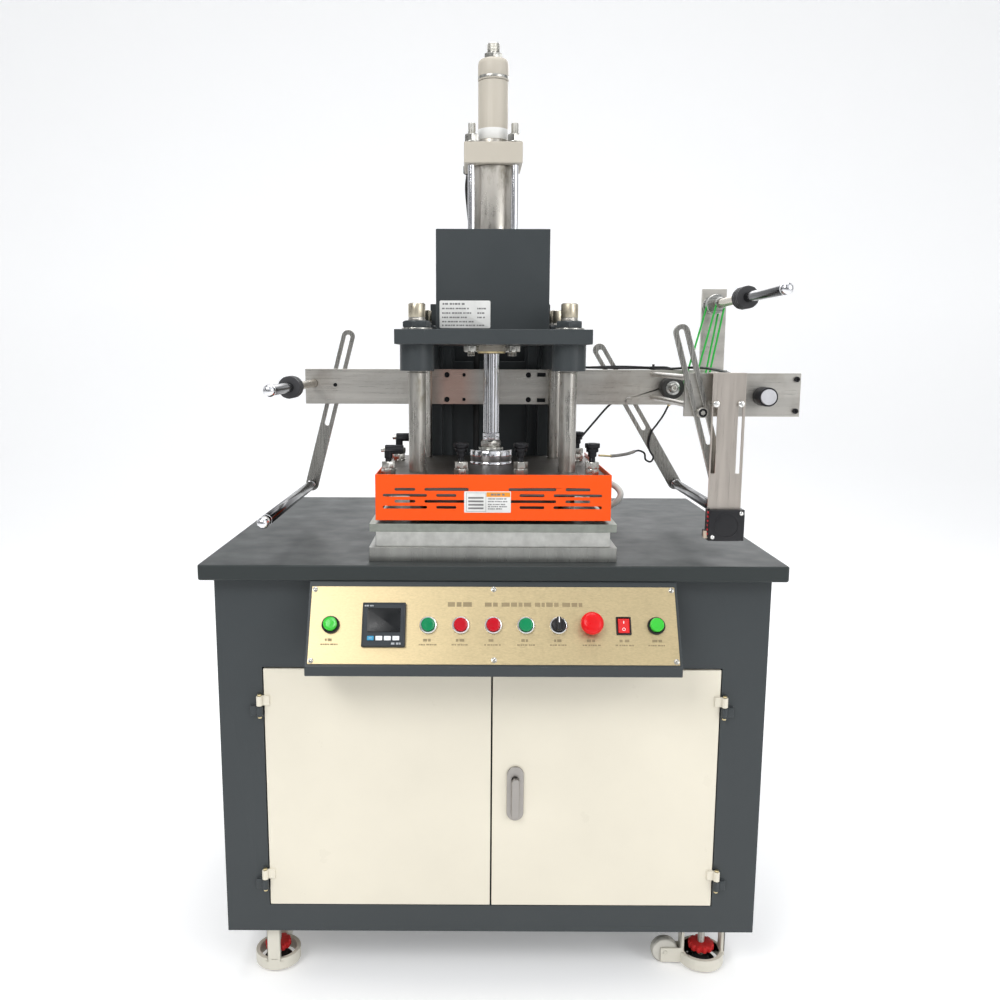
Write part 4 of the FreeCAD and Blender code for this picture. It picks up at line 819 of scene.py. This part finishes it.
def switches():
    """Collars and caps of the pushbuttons, selector, emergency stop, rocker and controller."""
    for node, x in SWITCH_ROW.items():
        outer = abs(x) > 200
        bezel(node, x, "black_plastic" if outer else "satin_ring")
        colour = "lamp_green" if outer else ("button_green" if "start" in node else "button_red")
        rise = 3.2 if outer else 0.0
        cap = turned(f"{node}_cap", "z", (x, -67, 0), [(9.9, -1), (9.9, 6.4), (11.4, 6.8), (11.5, 9.0 + rise),
            (11.1, 10.1 + rise), (10.2, 10.6 + rise), (9.4, 10.3 + rise), (6.0, 10.5 + rise),
            (1.0, 10.6 + rise)], colour, body_name(node), place=PANEL)
        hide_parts(node)

    bezel("selector", 108, "satin_ring")
    knob = turned("selector_base", "z", (108, -67, 0), [(4, -5), (4, 7.2), (11.3, 7.4), (11.5, 10.6),
        (10.6, 11.8), (9.5, 12.2), (1, 12.4)], "black_plastic", "selector_knob",
        wobble=lambda i: 1.0 if i % 4 else 0.975, place=PANEL)
    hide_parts("selector_knob")
    slab("selector_bar", (104.3, -78.2, 11.5), (111.7, -55.8, 21), "black_plastic", "selector_knob", 2.2, 3,
        place=PANEL)
    slab("selector_mark", (107.2, -66, 20.9), (108.8, -56.4, 21.25), "mark_white", "selector_knob", 0.12,
        place=PANEL)

    bezel("stop", 162, "black_plastic")
    mushroom = turned("estop_head", "z", (162, -67, 0), [(9.8, -1), (9.8, 12), (11.5, 14.4), (17.4, 15.2),
        (18.9, 16.4), (19.1, 19.2), (18.7, 22.0), (17.4, 25.0), (15.2, 27.0), (12.0, 28.2), (6.0, 28.8),
        (1.0, 28.9)], "stop_red", "estop_button", count=64, place=PANEL)
    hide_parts("estop_button")

    plaque("rocker_frame", (216, -67), [(9.9, 13.0, 0.6, -20), (10.2, 13.2, 0.8, -20), (10.2, 13.2, 0.8, 2),
        (12.5, 15.5, 1.6, 2), (12.5, 15.5, 1.6, 3.4), (11.7, 14.7, 1.2, 4.6), (10.6, 13.9, 0.9, 4.4),
        (9.9, 13.0, 0.6, 3.4)], "black_plastic", closed=True, place=PANEL)
    tilted = PANEL @ Matrix.Translation(Vector((216, -67, 1)) * MM) @ Matrix.Rotation(math.radians(8), 4, "X")
    key = plaque("rocker_face", (0, 0), [(9.4, 11.8, 0.6, -5), (9.4, 11.9, 0.7, 3.6), (9.0, 11.5, 0.7, 4.7),
        (7.6, 9.6, 0.6, 4.5), (7.4, 9.4, 0.5, 4.1)], "rocker_red", "rocker_key", place=tilted)
    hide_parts("rocker_key")
    slab("rocker_on", (-0.6, 3.6, 4.0), (0.6, 8.2, 4.35), "mark_white", "rocker_key", 0.1, place=tilted)
    turned("rocker_off", "z", (0, -5.6, 4.05), [(2.6, 0), (2.6, 0.3), (1.9, 0.3), (1.9, 0)], "mark_white",
        "rocker_key", count=28, closed=True, place=tilted)

    case = plaque("controller_case", (-181.5, -67), [(33.4, 33.4, 1.0, -54), (33.4, 33.4, 1.0, 2),
        (36, 37.5, 2.0, 2), (36, 37.5, 2.0, 7.4), (34.8, 36.3, 1.6, 9.0), (33.4, 34.9, 1.2, 8.9),
        (33.1, 34.6, 1.0, 8.2)], "controller_grey", place=PANEL)
    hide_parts("temperature_controller")
    plaque("controller_screen", (-181.5, -60), [(27.5, 20.5, 1.4, 7.9), (27.5, 20.5, 1.4, 8.8),
        (26.9, 19.9, 1.1, 9.0)], "screen_glass", place=PANEL)
    for i, x in enumerate(KEYS):
        plaque(f"controller_key_{i}", (x, -90.8), [(5.6, 3.6, 0.9, 8.0), (5.6, 3.6, 0.9, 9.6),
            (5.0, 3.0, 0.7, 10.2)], "key_blue" if i == 0 else "key_pale", place=PANEL)
    print_bars = words(-214, -37, 16, 2.2, 2) + words(-168, -101.5, 18, 3, 3)
    print_bars += [(x - 2.4, -91.3, 4.8, 1.0) for x in KEYS]
    printed("controller_print", print_bars, "mark_dim", "frame", PANEL, level=8.2, thick=2.1)

    plate = facing(-364)
    housing = turned("jog_housing", "z", JOG, [(10.9, -22), (10.9, 0), (15.2, 0), (15.75, 0.6),
        (15.75, 36.6), (15.0, 38.0), (14.0, 38.2), (13.3, 37.4), (13.25, 24), (9.5, 23), (9.5, -22)],
        "black_plastic", count=64, closed=True, place=plate, wobble=lambda i: 1.0 if i % 4 else 0.985)
    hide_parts("switch_bezels")
    jog = turned("jog_cap", "z", JOG, [(12.8, 28.6), (12.8, 39.2), (12.3, 40.4), (11.2, 40.9),
        (6, 40.7), (0.6, 40.6)], "button_grey", "jog_button", place=plate)
    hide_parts("jog_button")


# ---------------------------------------------------------------- bed and head


def bed_and_head():
    """Stacked plates, the hot plate, the platen and the slotted orange guard."""
    plates = rounded("bed_plates", "base_steel", 0.5)
    recolour(plates, "bed_alloy", lambda x, y, z: z > 815.2)
    rounded("work_plate", "plate_steel", 0.7)
    rounded("platen", "heater_alloy", 0.8)
    rounded("heater_plate", "heater_alloy", 0.6)
    rounded("guard", "guard_orange", 0.7)


UPRIGHT_BOLTS = ((-55, -320), (48, -320), (171.5, -320), (172.5, -65))
SIDE_BOLTS = ((-181, -320), (-182, -65))


def head_bolts():
    """Studs with double nuts and knurled black heads; the left pair's heads lie sideways."""
    first = None
    for i, (x, y) in enumerate(UPRIGHT_BOLTS + SIDE_BOLTS):
        at = (x, y, 933)
        turned(f"stud_{i}", "z", at, thread(5.6, 0, 50, 1.9), "black_oxide", "ram", count=24)
        washer(f"stud_washer_{i}", "z", at, (11.6, 5.4, 0, 2.2, 0.5), "zinc_bolts", "ram")
        hex_nut(f"lower_nut_{i}", "z", (x, y, 935.2), 22, 11.5, 5.3, "zinc_bolts", "ram", turn=0.2 + 0.7 * i)
        hex_nut(f"upper_nut_{i}", "z", (x, y, 947.0), 22, 11.5, 5.3, "zinc_bolts", "ram", turn=0.6 + 0.5 * i)
        if (x, y) in UPRIGHT_BOLTS:
            turned(f"bolt_neck_{i}", "z", at, [(5, 34), (7.2, 34.6), (7.5, 35.6), (7.5, 42.4), (5, 42.8)],
                "black_oxide", "ram")
            turned(f"bolt_collar_{i}", "z", at, [(7, 42.4), (10, 42.7), (10.6, 43.6), (10.6, 48.8),
                (9, 49.4)], "black_oxide", "ram")
            head = turned(f"bolt_head_{i}", "z", at, [(9, 49.4), (12.3, 49.7), (13, 50.6), (13, 56.6),
                (12.3, 57.7), (7.4, 58), (6.8, 55.4), (1, 55.2)], "black_oxide", "ram", count=60,
                wobble=knurl(0.04))
        else:
            head = turned(f"bolt_head_{i}", "x", (x, y, 979), [(3, -6), (7.4, -5.6), (8, -4.6), (8, 24),
                (7.2, 26), (2, 26.4)], "black_oxide", "ram", count=60, wobble=knurl(0.05))
            turned(f"bolt_tip_{i}", "x", (x, y, 979), [(2.2, -13.4), (4.4, -12.8), (4.6, -11.6), (4.6, -5)],
                "zinc_bolts", "ram")
            turned(f"bolt_boss_{i}", "z", at, [(5, 30), (7, 31), (7, 44), (5, 45)], "black_oxide", "ram")
        first = first or head
    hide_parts("head_bolts")


def ram_and_rod():
    """Chromed rod, its nut on the grooved hub, and the stroke knob above the cylinder."""
    rod = turned("main_rod", "z", RAM, [(13.4, 961), (15.0, 963), (15.2, 985), (13.2, 986.5),
        (13.2, 992), (15.5, 994), (15.5, 1243), (14.5, 1244)], "chrome", "ram", count=72)
    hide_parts("piston_rod")
    washer("rod_washer", "z", RAM, (24, 15.3, 961, 965.6, 0.8), "zinc_bolts", "ram", count=64)
    hex_nut("rod_nut", "z", (0, -117.5, 965.6), 36, 12.6, 15.3, "zinc_bolts", "ram", turn=0.35)
    turned("rod_flats", "z", RAM, [(13, 978.4), (15.7, 978.6), (15.7, 991.6), (13.4, 992)],
        "chrome", "ram", count=6)
    hub = turned("hub_discs", "z", RAM, [(38, 933), (40.4, 933.2), (41, 933.8), (41, 937.6),
        (40.4, 938.4), (39.2, 938.6), (39.2, 939.6), (40.4, 939.8), (41, 940.6), (41, 959.6), (40.0, 960.8),
        (30, 961), (20, 960.4)], "chrome", "ram", count=72)
    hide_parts("press_hub")
    turned("tail_rod", "z", RAM, [(11.9, 1290), (11.9, 1664)], "chrome", "ram")
    turned("tail_stud", "z", RAM, thread(12, 1664, 1699, 2.6), "zinc_bolts", "ram", count=36)
    turned("stroke_knob", "z", RAM, [(12.4, 1633.4), (27.4, 1633.6), (28, 1634.6), (28, 1662),
        (27.2, 1666.4), (25, 1669.6), (22, 1671), (12.4, 1671.2)], "cylinder_paint", "ram", count=72)
    washer("stroke_band", "z", RAM, (28.5, 27.9, 1636, 1641, 0.4), "zinc_bolts", "ram", count=72)
    hex_nut("stroke_nut", "z", (0, -117.5, 1671.2), 32, 10, 11.6, "zinc_bolts", "ram", turn=0.5)


COLUMNS = [(x, y) for x in (-135, 135) for y in (-245, 10)]
TIES = [(x, y) for x in (-39, 39) for y in (-156.5, -78.5)]


def crosshead_and_columns():
    """Painted crosshead on greasy ground columns, clamped by worn, painted nuts."""
    rounded("crosshead", "body_grey", 0.9)
    rounded("rear_column", "body_grey", 0.8)
    for i, (x, y) in enumerate(COLUMNS):
        turned(f"column_{i}", "z", (x, y, 0), [(13, 790.2), (15.5, 792), (15.5, 1203),
            (14.6, 1204), (14.6, 1228.6), (13.4, 1230.4), (12.2, 1231), (5, 1230.8)], "oiled_steel", count=64)
        washer(f"column_cap_{i}", "z", (x, y, 0), (15.1, 14.4, 1206, 1229.4, 0.5), "column_brass", count=64)
        washer(f"column_seat_{i}", "z", (x, y, 0), (27, 15.6, 1184.6, 1187.8, 0.6), "zinc_bolts", count=56)
        nut = hex_nut(f"column_clamp_{i}", "z", (x, y, 1187.6), 44, 12.6, 15.7, "body_grey",
            turn=0.25 + 0.6 * i)
        turned(f"column_grease_{i}", "z", (x, y, 0), [(15.6, 1108.6), (18.5, 1109.4), (18.2, 1110.4),
            (15.6, 1110.4)], "oiled_steel", closed=True, wobble=lambda k: 1.0 + 0.03 * math.sin(k * 1.9))
    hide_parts("guide_columns")
    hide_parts("column_nuts")


def cylinder():
    """Barrel, end blocks and tail tube, with threaded tie rods and the hose fittings behind."""
    barrel = turned("barrel_tube", "z", RAM, [(38, 1206.6), (40.6, 1207), (40.6, 1214), (40, 1215),
        (40, 1473), (40.7, 1474), (40.7, 1481), (38, 1481.8)], "barrel_steel", count=72)
    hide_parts("cylinder_barrel")
    rounded("cylinder_end_blocks", "cylinder_paint", 1.8, 3)
    rounded("cylinder_cover", "body_grey", 1.5, 3)
    washer("tail_band", "z", RAM, (28.3, 27.4, 1530, 1549, 0.5), "plate_white", count=72)
    washer("tail_foot", "z", RAM, (27.8, 27.3, 1519, 1529.6, 0.3), "barrel_steel", count=72)
    turned("gland_ring", "z", RAM, [(16.2, 1147), (16.2, 1143.6), (24.5, 1143.4), (26.4, 1144.6),
        (26.8, 1147.4)], "yellow_zinc", closed=True, count=56)
    rod = None
    for i, (x, y) in enumerate(TIES):
        rod = turned(f"tie_{i}", "z", (x, y, 0), [(6.8, 1150), (7, 1152), (7, 1530), (6.8, 1532)], "chrome",
            count=32)
        turned(f"tie_low_thread_{i}", "z", (x, y, 0), thread(7, 1139, 1160, 2.2), "zinc_bolts", count=28)
        turned(f"tie_top_thread_{i}", "z", (x, y, 0), thread(7, 1530, 1553, 2.2), "zinc_bolts", count=28)
        hex_nut(f"tie_low_nut_{i}", "z", (x, y, 1146.4), 24, 12.4, 6.9, "zinc_bolts", turn=0.2 + i)
        hex_nut(f"tie_top_nut_{i}", "z", (x, y, 1519.2), 24, 14, 6.9, "zinc_bolts", turn=0.5 + i)
        washer(f"tie_washer_{i}", "z", (x, y, 0), (13.6, 7.2, 1519.1, 1521.2, 0.5), "zinc_bolts")
    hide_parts("tie_rods")
    turned("hose_stub", "y", (-44, 0, 1490), [(4, -68), (9, -66), (9, -54), (7, -53), (7, -46), (3, -45)],
        "black_oxide", count=36)
    hex_nut("hose_hex", "y", (-44, -64, 1490), 22, 8, 4, "black_oxide")
    wire("upper_hose", [(-44, -46, 1490), (-44, -22, 1486), (-46, 2, 1462), (-40, 30, 1400), (-30, 66, 1300),
        (-28, 76, 1236), (-28, 78, 1150), (-28, 78, 850)], 6.5, "foot_black", "frame", 16)
    for side in (-1, 1):
        turned(f"port_{side}", "x", (side * 58, -117.5, 1195), [(4, -6 * side), (8, -5 * side), (8, 6 * side),
            (4, 7 * side)], "black_oxide", count=6)


def labels():
    """Blank instruction plates: pale sheet, coloured header and plain bars, with no lettering."""
    cover = facing(-195)
    plaque("cover_plate", (-50.2, 1213.5), [(46.2, 24.6, 2.5, 0.0), (46.2, 24.6, 2.5, 0.5),
        (45.8, 24.2, 2.2, 0.7)], "plate_white", place=cover)
    bars = words(-91, 1230.5, 40, 3.2, 2)
    for row, z in enumerate((1222.6, 1214.6, 1206.8, 1199.2, 1192.6)):
        bars += words(-92, z, (52, 58, 46, 58, 80)[row], 2.6, row + 3)
        if row < 3:
            bars += words(-28, z, 16, 2.6, row)
    printed("cover_print", bars, "plate_print", "frame", cover, level=0.68, thick=0.1)
    hood = facing(-358)
    plaque("guard_plate", (-9.75, 893.3), [(39.8, 18.3, 1.5, 0.0), (39.8, 18.3, 1.5, 0.5),
        (39.4, 17.9, 1.3, 0.7)], "plate_white", "ram", place=hood)
    plaque("guard_header", (8.6, 906.2), [(20.2, 4.0, 0.4, 0.6), (20.2, 4.0, 0.4, 0.8)], "plate_orange",
        "ram", place=hood)
    bars = words(-4, 904.6, 25, 3.2, 1)
    for row, z in enumerate((897.8, 893.2, 888.2, 884.4, 880.6)):
        bars += words(-9, z, (34, 34, 30, 32, 24)[row], 2.0, row)
    bars += [(-46, 877, 33.5, 0.5), (-46, 908.8, 33.5, 0.5), (-46, 877, 0.5, 32), (-12.8, 877, 0.5, 32)]
    printed("guard_print", bars, "plate_print", "ram", hood, level=0.7, thick=0.14)
    printed("guard_block", [(-42.5, 881 + 6 * row, 26, 3) for row in range(4)], "plate_print", "ram", hood,
        level=0.7, thick=0.14)


# ---------------------------------------------------------------- foil feed


def crossbar():
    """Mill-finish bar with black socket screws set into its counterbores."""
    rounded("crossbar", "bar_alloy", 0.5)
    for i, (x, radius) in enumerate(((-89.5, 5.1), (-54, 3.1), (80, 5.1))):
        for z in (1049.5, 1100.5):
            socket_screw(f"bar_screw_{i}_{z}", (0, -1, 0), (x, 41, z), radius, 5.4, "black_oxide")
    washer("bar_ring", "y", (290, 0, 1049), (7.0, 4.6, 33.8, 35.0, 0.4), "chrome")
    socket_screw("bar_clamp", (0, -1, 0), (290, 35, 1049), 4.6, 7.8, "zinc_bolts")
    turned("left_hole", "y", (-321.9, 0, 1079), [(4, 34.7), (4, 36), (0.4, 36.2)], "black_oxide", count=24)


def spool_shaft(side, at, front, discs, free, mid, back):
    """Polished spool shaft with a domed silver end, four clamp discs and a duller part behind them."""
    node = f"{side}_shaft"
    bar = turned(f"{node}_bar", "y", at, [(4, front), (8.4, front + 0.8), (9.0, front + 3), (9.0, free),
        (8.5, free), (8.5, free + 14)], "shaft_dark", node, count=56)
    turned(f"{node}_rear", "y", at, [(6, free + 12), (8.55, free + 12.4), (8.55, mid), (7.9, mid),
        (7.9, back)], "shaft_warm", node, count=56)
    turned(f"{node}_tip", "y", at, [(1, front - 3), (4.6, front - 2.5), (8.2, front - 0.4),
        (10.0, front + 3), (10.4, front + 7), (10.0, front + 11), (9.1, front + 13.4)], "chrome", node,
        count=56)
    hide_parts(node)
    for i, offset in enumerate((-20, -10, 2, 12)):
        low = discs + offset
        turned(f"{side}_disc_{i}", "y", at, [(8.6, low), (18.4, low), (20.1, low + 0.7), (20.5, low + 1.8),
            (20.5, low + 5.2), (20.1, low + 6.3), (18.4, low + 7), (15.5, low + 6.4), (8.6, low + 6.4)],
            "disc_rubber", node, count=72, closed=True, wobble=knurl(0.02, 6))
        washer(f"{side}_hub_{i}", "y", at, (13, 8.6, low + 6.5, low + 11, 1), "disc_rubber", node,
            wobble=knurl(0.05, 6))


def pulley(name, at, middle, groove, rise, half, bore, body, count):
    """A grooved pulley: its middle on the axis, the belt's radius, the rim's rise over it, half its width."""
    rim, root = groove + rise, groove - 2.3
    turned(name, "y", at, [(bore, middle - half), (rim - 0.6, middle - half), (rim, middle - half + 0.6),
        (rim, middle - 3.4), (root + 0.6, middle - 2.2), (root, middle), (root + 0.6, middle + 2.2),
        (rim, middle + 3.4), (rim, middle + half - 0.6), (rim - 0.6, middle + half), (bore, middle + half)],
        "bright_steel", body, count=count)


# The two green belts: their place on Y, the radius they run at on the rewind shaft and on the driven
# roller, and half the width of their pulleys.
BELTS = (("belt", 23, 12.35, 20, 8), ("thin", -35, 8, 12.96, 6))


def spool_shafts():
    """The unwind and rewind shafts with their collars, and the rewind shaft's pulleys."""
    spool_shaft("unwind", UNWIND, -410, -219, -240, -150, 50)
    turned("unwind_collar", "y", UNWIND, chamfered(14, 50.4, 62, 1), "zinc_bolts", "unwind_shaft")
    spool_shaft("rewind", REWIND, -440, -204, -225, -48, 61)
    turned("rewind_collar", "y", REWIND, chamfered(14, 60.4, 68, 1), "zinc_bolts", "rewind_shaft")
    for name, middle, groove, _, half in BELTS:
        pulley(f"rewind_{name}_pulley", REWIND, middle, groove, 3, half, 7, "rewind_shaft", 56)
    turned("rewind_flange", "y", REWIND, [(8, -4), (18.6, -3.6), (19.5, -2.6), (19.5, 2.6), (18.6, 3.4),
        (8, 3.8)], "bright_steel", "rewind_shaft", count=64)


def rollers_and_links():
    """Slotted links, guide rollers, the pinch and pulling rollers, belts and the motor."""
    for node in ("left_link", "right_link", "front_link"):
        rounded(node, "link_steel", 0.8)
    for node, x, z, low in (("left_roller", -378, 868, -414), ("right_roller", 395, 873.5, -362)):
        tube = turned(f"{node}_tube", "y", (x, 0, z), [(5.3, low), (8.8, low + 0.2), (9.5, low + 1.2),
            (9.5, 42.8), (8.8, 43.8), (5.3, 44)], "shaft_dark", node, count=56, closed=True)
        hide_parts(node)
        for i, at in enumerate((low + 9, 32)):
            washer(f"{node}_bush_{i}", "y", (x, 0, z), (9.8, 9.2, at, at + 3, 0.3), "chrome", node)
    turned("left_ball", "y", (-378, 0, 868), [(1, -437), (5, -436.2), (8.6, -433), (10, -428), (9.4, -422),
        (7, -417), (5.4, -415)], "chrome", "left_link", count=56)
    tyre = turned("pinch_tyre", "y", PINCH, [(14.6, -5.4), (20.6, -6), (22, -5.2), (22.5, -3.6),
        (22.5, 28), (21.6, 29.8), (14.6, 30)], "roller_rubber", "pinch_roller", count=72, closed=True,
        wobble=knurl(0.006, 4))
    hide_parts("pinch_roller")
    turned("pinch_hub", "y", PINCH, [(5.1, -8.6), (8, -9), (9, -8.2), (9.6, -5.6), (13.4, -5.2),
        (14.6, -4.6), (14.6, 28), (5.1, 28.4)], "bright_steel", "pinch_roller", count=64, closed=True)
    socket_screw("pinch_screw", (0, -1, 0), (373, -9.6, 1076), 6.4, 4.2, "zinc_bolts")
    drive = turned("drive_sleeve", "y", DRIVE, [(7, -25), (21.6, -25), (22.8, -24), (23, -22),
        (23, 8), (22.8, 10), (21.6, 11), (7, 11)], "roller_green", "drive_roller", count=72)
    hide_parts("drive_roller")
    turned("drive_spindle", "y", DRIVE, chamfered(6, -47, 59, 1), "chrome", "drive_roller")
    for name, middle, _, groove, half in BELTS:
        pulley(f"drive_{name}_pulley", DRIVE, middle, groove, 2.5, half, 6, "drive_roller", 64)
    rounded("feed_motor", "motor_grey", 1.5)
    paint("drive_belts", "belt_green")


def front_frame():
    """Front plate, upright and rods, with the screws that hold them."""
    rounded("foil_frame", "mill_aluminium", 0.5)
    for i, (x, z) in enumerate(((502.5, 1102), (502.5, 1049.5))):
        socket_screw(f"plate_screw_{i}", (0, -1, 0), (x, -364, z), 4.6, 4.4, "black_oxide")
    washer("clamp_washer", "y", (345.3, 0, 1047), (8.9, 4.6, -374.2, -372.6, 0.4), "zinc_bolts")
    socket_screw("clamp_screw", (0, -1, 0), (345.3, -374.2, 1047), 7.4, 7.8, "black_oxide")
    for i, z in enumerate((1056, 1103)):
        hex_nut(f"tie_bar_nut_{i}", "y", (338, -354, z), 14, 6, 5.2, "zinc_bolts")
    for i, (x, z) in enumerate(((446, 1053), (480, 1053), (446, 1098), (480, 1098))):
        socket_screw(f"upright_screw_{i}", (0, 1, 0), (x, 60, z), 4.8, 4.6, "black_oxide")
    washer("upright_bearing", "y", REWIND, (17, 8.6, 44, 50.2, 0.8), "bright_steel", count=56)


def blower():
    """Slotted hanger with domed screws, and the small black blower with its lead at its foot."""
    hanger = rounded("blower_bracket", "bracket_steel", 0.45)
    recolour(hanger, "black_plastic", lambda x, y, z: z < 888.4 and (y < -396 or y > -391 or z < 887.4))
    case = facing(-403)
    plaque("blower_face", (386.5, 862), [(29.5, 26, 9, -24), (29.8, 26.3, 9, 0.0), (29.2, 25.7, 8.6, 1.4),
        (27.8, 24.3, 8, 1.8)], "black_plastic", "blower_bracket", place=case)
    washer("blower_ring", "z", (386.5, 862, 1.6), (21, 18.8, 0, 0.9, 0.3), "black_plastic", "blower_bracket",
        count=56, place=case)
    for i, (x, z) in enumerate(((410, 882.5), (363.5, 842.5))):
        slotted_screw(f"blower_screw_{i}", (0, -1, 0), (x, -404.6, z), 3.6, 2.6, "pale_screw",
            "blower_bracket", turn=0.8)
    for i, x in enumerate((362.6, 403.4)):
        slotted_screw(f"hang_screw_{i}", (0, -1, 0), (x, -398.2, 1062.5), 5.2, 2.4, "pale_screw",
            turn=0.3 + i)
    for i in range(6):
        low = 846 + 7.2 * i
        slab(f"lead_band_{i}", (355.2, -401.5, low), (359.4, -396, low + 3.4), "wire_red", "blower_bracket",
            0.5)
    wire("lead_black", [(357, -399, 842), (356.6, -400, 862), (357.4, -399, 890)], 1.6, "wire_black",
        "blower_bracket")
    slab("lead_plug", (350.5, -400, 839.5), (357, -392, 852), "plug_beige", "blower_bracket", 1.0)


def wiring():
    """Leads along the feed bar, the probe's lead with its braid, and the heater's cable."""
    wire("bar_lead", [(120, 47, 1118), (250, 44, 1115.5), (325, 42, 1115.5), (342, 40, 1113.5),
        (380, 34, 1114.5), (414, 12, 1117), (430, -60, 1116), (436, -200, 1108), (444, -330, 1088),
        (446, -344, 1074)], 2.6, "wire_black")
    wire("bar_lead_two", [(140, 50, 1114), (260, 46, 1118.5), (330, 38, 1117), (345, 40, 1117.5),
        (372, 40, 1116), (388, 60, 1104), (396, 84, 1090)], 2.0, "wire_black")
    turned("cable_tie", "x", (337, 40, 1114.5), [(4.4, 0), (5.6, 0.3), (5.8, 2), (5.6, 3.7), (4.4, 4)],
        "wire_black", count=28, closed=True)
    slab("cable_tie_head", (336.6, 36, 1119), (341.4, 40.5, 1123.5), "wire_black", "frame", 0.7)
    wire("head_lead", [(284, 66, 1050), (272, 74, 1046), (254, 80, 1035), (222, 66, 1001), (191, 42, 968),
        (181, 30, 950), (180, 14, 934)], 2.2, "wire_black")
    wire("probe_lead", [(377, 52, 1040), (366, 50, 1018), (352, 47, 998), (342, 46, 984), (336, 45, 962),
        (338, 44, 944), (346, 42, 930), (340, 40, 920), (329, 38, 925), (326, 36, 938), (314, 34, 944),
        (302, 31, 942)], 2.0, "wire_black")
    turned("probe_ferrule", "z", (377, 52, 1036), [(2.2, 0), (3.4, 0.4), (3.4, 8), (2.2, 8.6)], "yellow_zinc",
        count=24)
    wire("probe_braid", [(304, 31.4, 942.4), (288, 26, 938), (268, 18, 935.6), (252, 12, 934.6)], 3.4,
        "braid", "frame", 18)
    wire("probe_tip", [(253, 12, 934.6), (240, 4, 936), (225, -4, 937.4)], 2.2, "yellow_zinc", "frame", 16)
    cable = wire("heater_cable", [(196, 24, 884), (214, 28, 886), (238, 22, 882), (262, 8, 872),
        (272, -4, 858), (264, -6, 842), (244, 4, 828), (222, 24, 816), (206, 52, 806), (196, 78, 800)], 6.4,
        "wire_pale", None, 16, 12)
    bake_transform(cable, "ram", "frame", (0.21, 0.02, 0.886), (0.24, 0.0, 0.806))


def main():
    make_camera()
    MATERIAL.update(make_materials())
    make_stage()
    for entry in frame["record"]["subparts"]:
        paint(entry["node"], entry["material_slot"])
    for dress in (cabinet, casters, control_panel, switches, bed_and_head, head_bolts, ram_and_rod,
            crosshead_and_columns, cylinder, labels, crossbar, spool_shafts, rollers_and_links, front_frame,
            blower, wiring):
        dress()


main()
